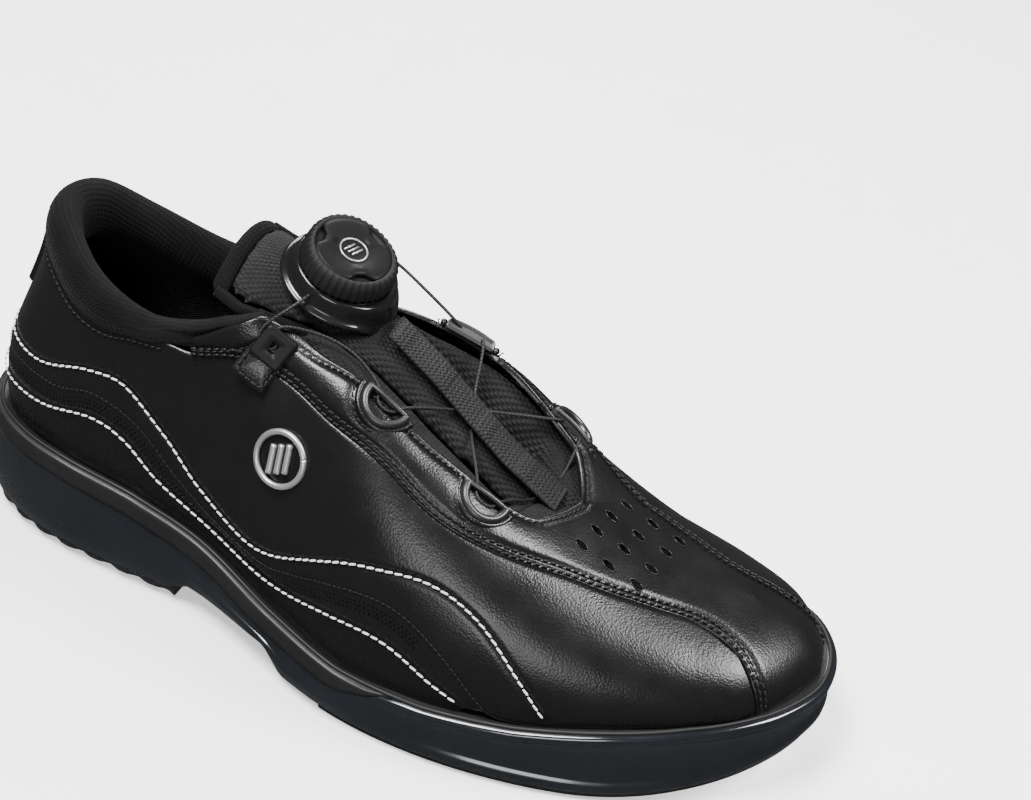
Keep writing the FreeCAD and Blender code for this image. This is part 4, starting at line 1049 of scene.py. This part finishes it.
def turned_rings(profile, shape, around=160):
    """Rings from (radius, height) pairs round the reel; shape varies a ring's radius."""
    angle = np.linspace(0, 2 * math.pi, around, endpoint=False)
    rings = []
    for radius, height in profile:
        r = shape(radius, angle)
        rings.append(on_reel(np.column_stack([r * np.cos(angle), r * np.sin(angle),
                                              np.full(around, height)])))
    return np.array(rings)


CAP_LOBES, CAP_FLAT = 3, 8.0                  # bites in the cap's rim, and its plain middle
BADGE_LEVEL = 14.25


def notched(radius, angle):
    """The cap's rim, with rounded bites taken out of it at even turns."""
    if radius <= CAP_FLAT:
        return np.full(angle.shape, radius)
    step = 2 * math.pi / CAP_LOBES
    away = np.abs((angle - math.radians(75) + step / 2) % step - step / 2)
    return radius - 3.0 * np.exp(-(away / 0.3) ** 4)


def knurled(radius, angle):
    """Grip with fine teeth on three broad swells."""
    flute = 0.22 * np.clip(np.sin(angle * 39) * 1.8, -1, 1)
    swell = 0.35 * np.cos(angle * 3 - 0.6)
    return radius + flute + swell if radius > 13.0 else np.full(angle.shape, radius)


def flange_shape(radius, angle):
    """The reel's foot runs out towards the toe."""
    ahead = np.clip(np.cos(angle), 0, 1) ** 3
    return radius * (1 + 0.16 * ahead * (radius > 12))


def reel_pieces():
    """The reel's foot on the tongue, and the knob's grip, cap and badge."""
    foot = [(4.0, -1.3), (15.0, -1.4), (18.0, -1.6), (19.0, -1.3), (19.4, -0.7), (19.2, -0.1),
            (18.6, 0.25), (17.9, 0.4), (17.4, 0.9), (17.1, 2.2), (16.9, 4.0), (16.6, 5.4),
            (16.2, 6.1), (15.7, 6.3), (14.0, 6.35), (13.8, 6.1), (13.8, -0.3), (4.0, -0.2)]
    rows = turned_rings(foot, flange_shape)
    local = (rows - REEL_BASE) @ REEL_TURN
    droop = np.clip(local[..., 0] - 13, 0, 9) ** 2 * 0.055
    local[..., 2] -= droop
    part("reel_foot", [on_reel(local.reshape(-1, 3)).reshape(rows.shape)], "gloss_black",
         "reel_plate", body="tongue")
    grip = [(9.0, 6.7), (14.7, 6.65), (15.3, 6.9), (15.6, 7.5), (15.7, 8.6), (15.4, 12.2),
            (14.8, 13.4), (14.1, 14.2), (13.6, 14.45), (12.9, 14.35), (12.5, 13.6), (12.4, 12.9),
            (9.0, 12.88)]
    part("reel_grip", [turned_rings(grip, knurled, 480)], "grip_rubber", "knob_grip",
         body="knob")
    cap = [(0.02, 12.95), (12.0, 12.95), (12.8, 13.2), (13.0, 13.8), (12.8, 14.3), (12.2, 14.6),
           (11.2, 14.7), (9.4, 14.65), (6.2, 14.35), (5.6, 14.2), (0.02, 14.2)]
    part("reel_cap", [turned_rings(cap, notched, 240)], "cap_plastic", "knob_cap", body="knob")
    grids = [tube_grid(on_reel(circle(4.5, BADGE_LEVEL)), 0.32)]
    for i in range(3):
        bar = [(-2.4 + i * 1.5, -2.2, BADGE_LEVEL), (-1.0 + i * 1.5, 2.2, BADGE_LEVEL)]
        grids.append(tube_grid(on_reel(bar), 0.34))
    part("reel_badge", grids, "badge_metal", "knob_badge", body="knob")


# ------------------------------------------------------------------ guides, clip, emblem

GUIDES = {
    "lateral_upper": (6.4, 0.735),
    "lateral_lower": (7.55, 0.705),
    "medial_upper": (17.4, 0.69),
    "medial_lower": (16.15, 0.68),
}
CLIP = (5.1, 0.93)
CLIP_TURN = np.array(Matrix.Rotation(math.radians(62), 3, "Z"))
GUIDE_LIFT, CLIP_LIFT, GUIDE_EDGE = 0.5, 1.0, 3.2
GUIDE_RADIUS, GUIDE_THICK = 8.5, 3.6
EMBLEM, EMBLEM_RADIUS = (5.15, 0.52), 8.8


def place_on(k, v):
    """Centre, direction along the throat edge, direction to the throat, and normal."""
    k, v = np.array([k], float), np.array([v], float)
    up = normal(k, v)[0]
    along = unit((upper(k + 0.1, v) - upper(k - 0.1, v))[0])
    inward = np.cross(up, along)
    to_crest = (upper(k, np.minimum(v + 0.05, 1)) - upper(k, v))[0]
    if inward @ to_crest < 0:
        inward = -inward
    along = np.cross(inward, up)
    return upper(k, v)[0], unit(along), unit(inward), up


def local_points(spot, points, lift):
    """Points given along, inward and off the leather at a spot."""
    centre, along, inward, up = place_on(*spot)
    points = np.asarray(points, float)
    return (centre + points[..., :1] * along + points[..., 1:2] * inward
            + (points[..., 2:] + lift) * up)


def moon(radius, level, edge=GUIDE_EDGE, count=64):
    """Half-moon outline with rounded corners, flat side towards the throat."""
    turn = np.linspace(0, 2 * math.pi, count, endpoint=False)
    x, y = np.cos(turn), np.sin(turn)
    flat = np.where(y > 0, np.sign(y) * (1 - (1 - np.abs(y)) ** 3) * 0.10, y)
    wide = np.where(y > 0, np.sign(x) * np.abs(x) ** 0.35, x)
    return np.column_stack([radius * wide, edge - 1.0 + radius * flat, np.full(count, level)])


def guide_piece(name, spot):
    """One lace guide with its bar and leather rim; returns the line stitched round it."""
    r, t = GUIDE_RADIUS, GUIDE_THICK
    profile = [(r + 0.4, -0.6), (r + 0.5, 0.6), (r + 0.2, t - 1.0), (r - 0.4, t - 0.2),
               (r - 1.2, t), (r - 2.0, t - 0.3), (r - 2.5, t - 1.1), (r - 2.8, 0.8),
               (r - 5, 0.7), (0.2, 0.7)]
    rows = np.array([local_points(spot, moon(*size), GUIDE_LIFT) for size in profile])
    x = np.linspace(-7.4, 7.4, 30)
    bar = np.column_stack([x, np.full(30, GUIDE_EDGE - 0.6), t - 0.3 - 0.012 * x ** 2])
    bar_grid = tube_grid(local_points(spot, bar, GUIDE_LIFT), 0.85, 12)
    part(f"guide_{name}", [rows], "gloss_black", f"lace_guide_{name}", look=SATIN)
    part(f"guide_bar_{name}", [bar_grid], "gloss_black", look=SATIN)

    def arc(radius, overrun, count, level):
        turn = math.pi * np.linspace(1 - overrun, 2 + overrun, count)
        return np.column_stack([radius * np.cos(turn), GUIDE_EDGE + radius * np.sin(turn),
                                np.full(count, level)])

    part(f"guide_rim_{name}", [tube_grid(local_points(spot, arc(r + 1.3, -0.02, 60, 1.0), 0.4),
                                         1.15, 12)], "black_leather")
    return local_points(spot, arc(r + 3.3, 0.02, 160, 0.0), 0.0)


def box_outline(half_x, half_y, level, corner=1.2, each=8):
    """Rounded rectangle."""
    turn = np.linspace(0, math.pi / 2, each)
    points = []
    for i, (sx, sy) in enumerate(((1, 1), (-1, 1), (-1, -1), (1, -1))):
        arc = turn + i * math.pi / 2
        points.append(np.column_stack([sx * (half_x - corner) + corner * np.cos(arc),
                                       sy * (half_y - corner) + corner * np.sin(arc),
                                       np.full(each, level)]))
    return np.vstack(points)


CLIP_HALF = 5.6


def clip_pieces(half):
    """Square clip with a small slot, and the stitched tab that it sits on."""
    t = GUIDE_THICK
    sizes = [(half, half, 0), (half + 0.1, half + 0.1, t - 1), (half - 0.3, half - 0.3, t - 0.2),
             (half - 0.8, half - 0.8, t), (1.4, 2.0, t), (1.2, 1.8, t - 0.4), (1.2, 1.8, 0.9)]
    rows = [box_outline(x, y, level, min(1.2, 0.6 * x)) @ CLIP_TURN for x, y, level in sizes]
    rows = np.array([local_points(CLIP, row, CLIP_LIFT) for row in rows])
    part("clip_block", [rows], "cap_plastic", "top_clip")
    x, y = half + 0.8, half + 3.0
    sizes = [(x, y, -0.8), (x, y, 1.0), (x - 0.6, y - 0.6, 1.5), (1, 1, 1.6)]
    shift = np.array([0, -5.2, 0])
    rows = np.array([local_points(CLIP, (box_outline(*size, 0.8) + shift) @ CLIP_TURN, 0.4)
                     for size in sizes])
    part("clip_tab", [rows], "black_leather")
    seam = box_outline(x - 1.2, y - 1.2, 1.9, 1.0)
    seam = local_points(CLIP, (np.vstack([seam, seam[:1]]) + shift) @ CLIP_TURN, 0.4)
    run = lengths(seam)
    seam = sampled(seam, run, np.linspace(0, run[-1], 240))
    up = np.tile(place_on(*CLIP)[3], (len(seam), 1))
    part("clip_stitching", stitches(seam, up, pitch=2.4, length=2.0, radius=0.34),
         "black_leather", look=BLACK_THREAD)


def emblem_piece():
    """Raised silver ring with a plain three-bar mark."""
    rim = circle(EMBLEM_RADIUS, 0.0)
    grids = [tube_grid(local_points(EMBLEM, rim, 1.4), 1.0, 12)]
    for i in range(3):
        bar = np.linspace([-4.6 + i * 3.0, -4.6, 0], [-1.8 + i * 3.0, 4.6, 0], 12)
        grids.append(tube_grid(local_points(EMBLEM, bar, 1.3), 1.1, 10))
    part("side_mark", grids, "badge_metal", "side_emblem")


# ------------------------------------------------------------------ lace

LACE_LEVEL, LACE_RADIUS, WEB_REACH = 3.9, 0.55, 5.95


def lace_route():
    """The CAD lace's route points, in order, with a mark at each span's end."""
    level = GUIDE_LIFT + GUIDE_THICK / 2
    route, marks = [], []

    def in_guide(spot, backward=False, half=4.6, mouth=GUIDE_EDGE + 1.7, lift=level):
        centre, along, inward, up = place_on(*spot)
        if along[0] < 0:
            along = -along
        corners = [(-half, mouth), (-0.65 * half, -0.2), (0.65 * half, -0.2), (half, mouth)]
        if backward:
            corners.reverse()
        marks.append(len(route) + 1.5)
        route.extend(centre + along * a + inward * b + up * lift for a, b in corners)

    def over_tongue(places, layer):
        rise = 0.7 + LACE_RADIUS + layer * (2 * LACE_RADIUS + 0.15)
        marks.append(len(route) + 0.5)
        route.extend(np.array([x, TONGUE_MIDDLE + side,
                               crest_height(x, side) - TONGUE_DROP + rise])
                     for x, side in places)

    def exit_points(sign):
        inner = on_reel([[-1.5, sign * 9.9, LACE_LEVEL]])[0]
        way = unit(np.array([-0.12, sign, 0.0])) @ REEL_TURN.T
        return [inner, inner + way * 10.5]

    route.extend(exit_points(-1))
    in_guide(CLIP, half=3.4, mouth=7.4, lift=level + CLIP_LIFT - GUIDE_LIFT)
    side = -TONGUE_HALF
    route.append(np.array([-21, TONGUE_MIDDLE + side, crest_height(-21, side) + 0.8]))
    in_guide(GUIDES["lateral_upper"])
    over_tongue([(14, -WEB_REACH), (22, WEB_REACH)], 1)
    in_guide(GUIDES["medial_lower"])
    over_tongue([(50, WEB_REACH), (46, -WEB_REACH)], 0)
    in_guide(GUIDES["lateral_lower"], backward=True)
    over_tongue([(22, -WEB_REACH), (17, WEB_REACH)], 0)
    in_guide(GUIDES["medial_upper"], backward=True)
    route.extend(exit_points(1)[::-1])
    return np.array(route), marks


def nurbs_line(points):
    """The smooth line of a NURBS spline with these control points, in mm."""
    curve = bpy.data.curves.new("lace_line", "CURVE")
    curve.dimensions = "3D"
    curve.resolution_u = 24
    spline = curve.splines.new("NURBS")
    spline.points.add(len(points) - 1)
    for spot, point in zip(spline.points, points):
        spot.co = (*(point * MM), 1.0)
    spline.order_u = 3
    spline.use_endpoint_u = True
    guide = bpy.data.objects.new("lace_line", curve)
    mesh = bpy.data.meshes.new_from_object(guide)
    line = np.array([v.co for v in mesh.vertices]) / MM
    bpy.data.objects.remove(guide)
    bpy.data.meshes.remove(mesh)
    return line


# Which bodies each span of lace hangs between, from one mark to the next.
LACE_SPANS = [("tongue", "shoe"), ("shoe", "shoe"), ("shoe", "tongue"), ("tongue", "shoe"),
              ("shoe", "tongue"), ("tongue", "shoe"), ("shoe", "tongue"), ("tongue", "shoe"),
              ("shoe", "tongue")]


def lace_pieces():
    route, marks = lace_route()
    line = nurbs_line(route)
    cuts = [0]
    for mark in marks:
        spot = straight(route, np.array([mark]))[0]
        start = cuts[-1] + 4
        cuts.append(start + int(np.argmin(np.linalg.norm(line[start:] - spot, axis=1)[:150])))
    cuts.append(len(line) - 1)
    for i, (a, b) in enumerate(LACE_SPANS):
        span = line[cuts[i]:cuts[i + 1] + 1]
        piece = part(f"lace_span_{i + 1}", [tube_grid(span, LACE_RADIUS)], "lace_cord", body=None)
        if a == b:
            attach(piece, a)
        else:
            start, end = span[len(span) // 4] * MM, span[-len(span) // 4] * MM
            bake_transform(piece)
        if i == 0:
            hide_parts("lace")


# ------------------------------------------------------------------ sole


def band_share(x):
    """How much of the band's height is left: it sweeps up to nothing at the ball."""
    t = np.clip((np.asarray(x, float) - 2) / 34, 0, 1)
    return 1 - t * t * (3 - 2 * t)


def band_line(x):
    return edge_height(x) - table(BAND_HEIGHT, x) * band_share(x)


def sole_rings(rows):
    """Rings from (height function of x, inset, and share towards the middle line)."""
    return np.array([ring(*row) for row in rows])


def between(share, low=shell_low, top=band_line, lift=0.0, full=13.0):
    """Height at a share of the way up, plus a lift that is less where the wall is low."""
    def level(x):
        tall = top(x) - low(x)
        return low(x) + tall * share + lift * np.clip(tall / full, 0.05, 1)
    return level


def front_share(x):
    """1 in the forefoot, 0 in the heel and arch."""
    t = np.clip((np.asarray(x, float) - 5) / 40, 0, 1)
    return t * t * (3 - 2 * t)


def skirt_low(x):
    """Lower edge of the shell's wall, which hides most of the pads' sides."""
    seat = table([(HEEL_FRONT - 4, 4.6), (HEEL_FRONT + 5, ARCH_LOW - 0.2),
                  (PAD_REAR - 10, ARCH_LOW - 0.2), (PAD_REAR - 2, 2.4)], x)
    return seat + ground(x)


def sole_pieces():
    points = outline(0)
    front = front_share(points[:, 0])
    bead = lambda value: value * front
    heel = lambda value: value * (1 - front)
    wall = lambda share, lift=0.0: between(share, skirt_low, band_line, lift)
    rows = [(shell_low, 6.0, 0.02), (shell_low, 6.0, 0.35), (shell_low, 6.0, 0.7),
            (shell_low, 4.0), (shell_low, 1.45), (wall(0, 0.2), 1.4),
            (wall(0), 0.9), (wall(0, 0.3), 0.4), (wall(0, 1.0), 0.1),
            (wall(0, 2.2), heel(-0.3)), (wall(0, 3.4), bead(0.2) - heel(0.7)),
            (wall(0, 4.2), bead(0.9) - heel(0.9)), (wall(0, 5.2), bead(1.5) - heel(1.2)),
            (wall(0.45), bead(1.7) - heel(1.5)), (wall(0.62), bead(1.6) - heel(1.3)),
            (wall(1.0, -4.6), bead(1.3) - heel(0.4)),
            (wall(1.0, -3.6), bead(0.5) - heel(0.0)),
            (wall(1.0, -2.8), bead(-0.1) + heel(0.3)),
            (wall(1.0, -1.2), bead(-0.3) + heel(0.4)),
            (wall(1.0, -0.3), 0.3), (wall(1.0, 0.1), 1.2),
            (wall(1.0), 3.0), (wall(1.0, -0.6), 5.5)]
    part("sole_shell", [sole_rings(rows)], "shell_tpu", "outsole_shell")

    away = 1 - band_share(points[:, 0])
    hide = lambda value: value + 2.4 * np.clip(away * 3 - 1.6, 0, 1)
    span = lambda share, lift=0.0: between(share, band_line, edge_height, lift, 5.0)
    rows = [(span(0, -0.4), hide(2.0)), (span(0, -0.2), hide(0.6)),
            (span(0, 0.2), hide(0.05)), (span(0.12), hide(-0.25)),
            (span(0.4), hide(-0.1)), (span(0.75), hide(-0.05)),
            (span(0.93), hide(0.0)), (span(1.0, -0.2), hide(0.35)),
            (span(1.0, 0.1), hide(1.0)), (span(1.0, 0.15), hide(2.4)),
            (span(1.0, -0.6), hide(5.0))]
    part("sole_band", [sole_rings(rows)], "band_foam", "midsole_band", capped=False)
    line = ring(lambda x: edge_height(x) + 0.35, 2.3)
    closing = np.vstack([line, line[:1]])
    part("welt_cord", [tube_grid(closing, 0.7, 8)], "band_foam", look=LOOKS["pad_rubber"])


def footbed_piece():
    def level(lift):
        return lambda x: edge_height(x) + 4.2 + lift

    rows = [(level(lift), inset, share) for lift, inset, share in (
        (-0.6, 17.0, 1.0), (-0.2, 15.6, 1.0), (1.4, 15.2, 1.0), (2.4, 15.6, 1.0),
        (2.9, 17.0, 1.0), (2.6, 17.0, 0.85), (2.2, 17.0, 0.6), (2.0, 17.0, 0.3),
        (2.0, 17.0, 0.02))]
    part("footbed_cushion", [sole_rings(rows)], "footbed_foam", "footbed")


PAD_RADIUS, PAD_CENTRE = 95.0, (83.0, SIDE_SHIFT - 8.0)


def pad_ring(height, inset, share):
    """A row of the slide sole: the outline, cut off behind by a large circle."""
    centre = np.array(PAD_CENTRE)
    plan = outline(inset) - centre
    reach = np.linalg.norm(plan, axis=1)
    limit = PAD_RADIUS + 1.5 - inset
    scale = np.where(plan[:, 0] < -20, np.minimum(1, limit / reach), 1)
    plan = plan * scale[:, None] + centre
    middle = spine(plan)
    middle[:, 0] = np.clip(plan[:, 0], 40, 100)
    plan = middle + (plan - middle) * share
    return np.column_stack([plan, height(plan[:, 0])])


def slide_face_piece():
    def level(lift):
        return lambda x: ground(x) + lift
    inner = (0.02, 0.2, 0.4, 0.6, 0.8, 0.92)
    rows = [(1.5, 7.0, share) for share in inner]
    rows += [(1.5, 6.2, 1.0), (0.6, 5.6, 1.0), (0.2, 5.9, 1.0), (0.06, 6.8, 1.0)]
    rows += [(0.06, 7.0, share) for share in inner[::-1]]
    rows = np.array([pad_ring(level(lift), inset, share) for lift, inset, share in rows])
    part("slide_sole", [rows], "slide_microfibre", "slide_face", body="forefoot_pad")
    y = np.linspace(-53, 36, 60)[:, None] + SIDE_SHIFT
    x = 52 + np.array([[-2.2, -2.0, 2.0, 2.2]]) + 0.06 * y
    z = np.broadcast_to([[0.2, 0.01, 0.01, 0.2]], x.shape)
    strip = np.stack([x, np.broadcast_to(y, x.shape), z], -1)
    part("slide_cross_band", [strip], "slide_microfibre", look=CROSS_BAND, body="forefoot_pad",
         closed=False, capped=False)


TREAD_TOP, TREAD_PITCH = 8.7, 11.5
TREAD_ZONES = ((-144, 5, -0.25), (-112, 4, 0.22), (-87, 4, -0.18))


def tread_piece():
    """Heel rubber with a scalloped side; its cross ribs stand below the base."""
    edge = outline(0)
    run = lengths(edge)
    scallop = 0.9 * (0.5 + 0.5 * np.cos(run * 2 * math.pi / TREAD_PITCH)) ** 2

    def row(z, inset, share=1.0):
        plan = ring(z, inset, share)
        stop = HEEL_FRONT - 0.4
        past = plan[:, 0] > stop
        level = np.clip(plan[:, 1], SIDE_SHIFT - 5 - 33 * share, SIDE_SHIFT - 5 + 34 * share)
        return np.column_stack([np.where(past, stop, plan[:, 0]),
                                np.where(past, level, plan[:, 1]), plan[:, 2]])

    inner = (0.02, 0.3, 0.6, 0.85)
    rows = [row(TREAD_TOP, 2.4, share) for share in inner]
    rows += [row(TREAD_TOP, 1.7), row(5.2, 1.7), row(4.3, 1.0 + scallop * 0.3),
             row(3.2, 0.7 + scallop), row(2.2, 0.9 + scallop * 1.3),
             row(1.6, 1.6 + scallop * 1.3)]
    rows += [row(1.5, 2.4, share) for share in inner[::-1]]
    grids = [np.array(rows)]
    for start, count, slope in TREAD_ZONES:
        for i in range(count):
            x = start + i * 5.2 + 2.6
            half = np.interp(x, [-146, -138, -128, -112, -62], [4, 14, 22, 27, 26])
            middle = np.interp(x, [-148, -100, -62], [0, 0, -5]) + SIDE_SHIFT
            grids.append(rib_grid(x, middle, half, slope))
    part("heel_rubber", grids, "tread_rubber", "heel_tread", body="heel_pad")


def rib_grid(x, middle, half, slope):
    """One rounded cross rib of the heel, as closed sections along Y."""
    y = np.linspace(-half, half, 24)
    turn = np.linspace(0, 2 * math.pi, 16, endpoint=False)
    section_x = 1.65 * np.sign(np.cos(turn)) * np.abs(np.cos(turn)) ** 0.4
    section_z = 1.0 + 0.98 * np.sign(np.sin(turn)) * np.abs(np.sin(turn)) ** 0.4
    rows = []
    for side in y:
        rows.append(np.column_stack([np.minimum(x + section_x + slope * side, HEEL_FRONT - 0.5),
                                     np.full(16, side + middle), section_z]))
    return np.array(rows)


def window_mark():
    """Plain ring and bar moulded on the arch window."""
    low, high = (np.array(corner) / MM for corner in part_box("arch_window"))
    middle, level = (low + high)[:2] / 2, low[2] - 0.1
    bar = np.linspace([*(middle - 3.6), level], [*(middle + 3.6), level], 10)
    rim = circle(7.2, level, middle)
    part("window_mark", [tube_grid(rim, 0.55), tube_grid(bar, 0.5)], "window_tpu",
         look=LOOKS["cap_plastic"])


# ------------------------------------------------------------------ putting it together


# Black seams: route on each side, distance from it, height, pitch, length and radius
# of a stitch, and whether the leather is pressed down along it.
BLACK_SEAMS = [
    (lambda side: VAMP_SEAM, 1.5, 1.45, 2.6, 2.1, 0.42, True),
    (lambda side: SIDES[side][1], 1.5, 1.45, 2.6, 2.1, 0.42, True),
    (lambda side: VAMP_SEAM, 3.4, 1.45, 2.6, 2.1, 0.42, True),
    (lambda side: SIDES[side][1], 3.4, 1.45, 2.6, 2.1, 0.42, True),
    (lambda side: KNIT_SEAM, -1.2, 0.95, 2.3, 1.9, 0.26, True),
    (lambda side: BAND_SEAM, 1.2, 0.9, 2.0, 1.6, 0.2, False),
    (lambda side: SIDES[side][2], -2.2, 1.55, 2.3, 1.9, 0.26, True),
]


def decorate(panels, vamp):
    """Stitching and lace guides, with the leather pressed down along the seams."""
    white, black, lines = [], [], []
    for points, aside in ((QUARTER_STITCH, 0.0), (LOWER_SEAM, 1.8)):
        grids, run = rows_on(both(lambda side: points), aside, 1.0)
        white += grids
        lines += run
    for route_of, aside, height, pitch, length, radius, pressed in BLACK_SEAMS:
        grids, run = rows_on(both(route_of), aside, height, pitch=pitch, length=length,
                             radius=radius)
        black += grids
        lines += run if pressed else []
    for name, spot in GUIDES.items():
        line = guide_piece(name, spot)
        up = np.tile(place_on(*spot)[3], (len(line), 1))
        black += stitches(line + up * 1.5, up, pitch=2.2, length=1.8, radius=0.26)
        lines.append(line)
    sink(panels + [vamp], lines, 0.7)
    part("white_stitching", white, "black_leather", look=WHITE_THREAD)
    part("black_stitching", black, "black_leather", look=BLACK_THREAD)


SLOT_X, SLOT_Y = (66, 76, 86), (-15, -5.5, 4, 13.5)
SLOT_LONG, SLOT_SHORT, PINHOLE = 2.5, 1.35, 0.36


def perforations(vamp):
    """Three rows of pinholes along the side band, and the slots over the toes: near-black matte
    ovals laid on the leather as painted shade for the holes, not cut through.
    """
    small = []
    for turn, sign in ((same, 1), (mirrored, -1)):
        points, normals = surface_line(turn(BAND_SEAM))
        for row, aside in enumerate((-2.0, -3.4, -4.8)):
            line = shifted(points, normals, aside * sign, LIFTS["side_band"] + 0.04)
            run = lengths(line)
            marks = np.arange(3 + row * 0.8, run[-1] - 30, 1.6)
            way = unit(np.gradient(line, axis=0))
            centres, ups, ways = (sampled(values, run, marks) for values in (line, normals, way))
            small += discs(centres, unit(ups), unit(ways), PINHOLE, PINHOLE, 0.0)
    # The pinholes are dark discs on the band: painted shade, not cut holes.
    part("band_hole_shade_discs", small, "black_leather", look=PAINTED_HOLE_SHADE)

    ovals = []
    leather = BVHTree.FromObject(vamp, bpy.context.evaluated_depsgraph_get())
    k = np.linspace(8.3, 11.6, 300)
    for side, turn in ((-1, same), (1, mirrored)):
        spots = [(a, v) for a in k for v in np.linspace(0.70, 0.999, 40)]
        spots = np.array(turn(spots))
        surface = upper(spots[:, 0], spots[:, 1])
        for x in SLOT_X:
            for y in SLOT_Y:
                target = np.array([x + (y + 19) * 0.18, y + SIDE_SHIFT])
                if (target[1] < upper(9.5, 1.0)[1]) != (side < 0):
                    continue
                best = int(np.argmin(np.linalg.norm(surface[:, :2] - target, axis=1)))
                a, v = spots[best]
                up = normal(a, v)
                way = unit(np.cross([0.25, 1.0, 0.0], up))
                hit = leather.ray_cast(Vector((surface[best] + up * 6) * MM), Vector(-up))[0]
                ovals.append((np.array(hit) / MM, up, way))
    # The toe slots are dark ovals laid just above the leather: painted shade inside the raised
    # rims.
    grids = discs(*zip(*ovals), SLOT_LONG, SLOT_SHORT, 0.06)
    part("vamp_hole_shade_discs", grids, "black_leather", look=PAINTED_HOLE_SHADE)
    rims = []
    for centre, up, way in ovals:
        side = np.cross(up, way)
        rim = (centre + up * 0.05 + SLOT_LONG * np.cos(CIRCLE)[:, None] * way
               + 1.4 * np.sin(CIRCLE)[:, None] * side)
        rims.append(tube_grid(rim, 0.22, 6))
    part("vamp_hole_rims", rims, "black_leather", capped=False)


FLOOR_HALF, FLOOR_DROP, WORLD_LIGHT = 6.0, 0.0004, 0.12
# Place, size and power.
SOFT_BOXES = [
    ((-0.35, -0.35, 1.35), 0.55, 58.0), ((0.85, 0.25, 1.05), 0.45, 30.0),
    ((-0.4, 1.05, 0.9), 0.6, 20.0), ((0.3, -1.2, 0.55), 0.5, 9.0),
]


def stage():
    """White floor, and soft boxes from above, the toe, behind and the front."""
    size = FLOOR_HALF
    mesh = bpy.data.meshes.new("floor")
    mesh.from_pydata([(-size, -size, 0), (size, -size, 0), (size, size, 0), (-size, size, 0)],
                     [], [(0, 1, 2, 3)])
    mesh.materials.append(finish("floor", grey(0.86), grey(0.9), (0.55, 0.65), stipple, 0.01,
                                 Emission_Color=(1, 1, 1, 1), Emission_Strength=0.6))
    floor = bpy.data.objects.new("floor", mesh)
    floor.location = (0, 0, -FLOOR_DROP)
    floor.visible_glossy = False
    bpy.context.scene.collection.objects.link(floor)

    world = bpy.data.worlds.new("studio")
    bpy.context.scene.world = world
    world.use_nodes = True
    world.node_tree.nodes["Background"].inputs[0].default_value = (1, 1, 1, 1)
    world.node_tree.nodes["Background"].inputs[1].default_value = WORLD_LIGHT
    for i, (place, width, power) in enumerate(SOFT_BOXES):
        data = bpy.data.lights.new(f"soft_box_{i}", "AREA")
        data.size = width
        data.energy = power
        lamp = bpy.data.objects.new(data.name, data)
        lamp.location = place
        lamp.rotation_mode = "QUATERNION"
        lamp.rotation_quaternion = (Vector((0, 0, 0.06)) - Vector(place)).to_track_quat("-Z", "Y")
        bpy.context.scene.collection.objects.link(lamp)


AZIMUTH, ELEVATION, ROLL = (math.radians(a) for a in (19.93, 38.52, 7.88))
DISTANCE, LENS, AIM_ASIDE, AIM_UP = 0.7, 73.35, 0.05334, 0.04187


def camera():
    back = Vector((math.sin(AZIMUTH) * math.cos(ELEVATION),
                   -math.cos(AZIMUTH) * math.cos(ELEVATION), math.sin(ELEVATION)))
    right = Vector((math.cos(AZIMUTH), math.sin(AZIMUTH), 0))
    up = back.cross(right)
    rolled_right = right * math.cos(ROLL) + up * math.sin(ROLL)
    rolled_up = up * math.cos(ROLL) - right * math.sin(ROLL)
    aim = -back + rolled_right * AIM_ASIDE + rolled_up * AIM_UP
    z = -aim.normalized()
    x = rolled_up.cross(z).normalized()
    data = bpy.data.cameras.new("camera")
    data.lens = LENS
    view = bpy.data.objects.new("camera", data)
    turn = Matrix((x, z.cross(x), z)).transposed()
    view.matrix_world = Matrix.Translation(Vector((0, SIDE_SHIFT * MM, 0.05))
                                           + back * DISTANCE) @ turn.to_4x4()
    bpy.context.scene.collection.objects.link(view)
    bpy.context.scene.camera = view


camera()
stage()
lace_pieces()
side_pieces = side_panels("lateral") + side_panels("medial")
top_panel = vamp_panel()
decorate(side_pieces, top_panel)
perforations(top_panel)
collar_piece()
lining_piece()
heel_tab_piece()
tongue_pad_piece()
gusset_pieces()
tongue_binding_piece()
webbing_piece()
reel_pieces()
clip_pieces(CLIP_HALF)
emblem_piece()
sole_pieces()
footbed_piece()
slide_face_piece()
tread_piece()
window_mark()
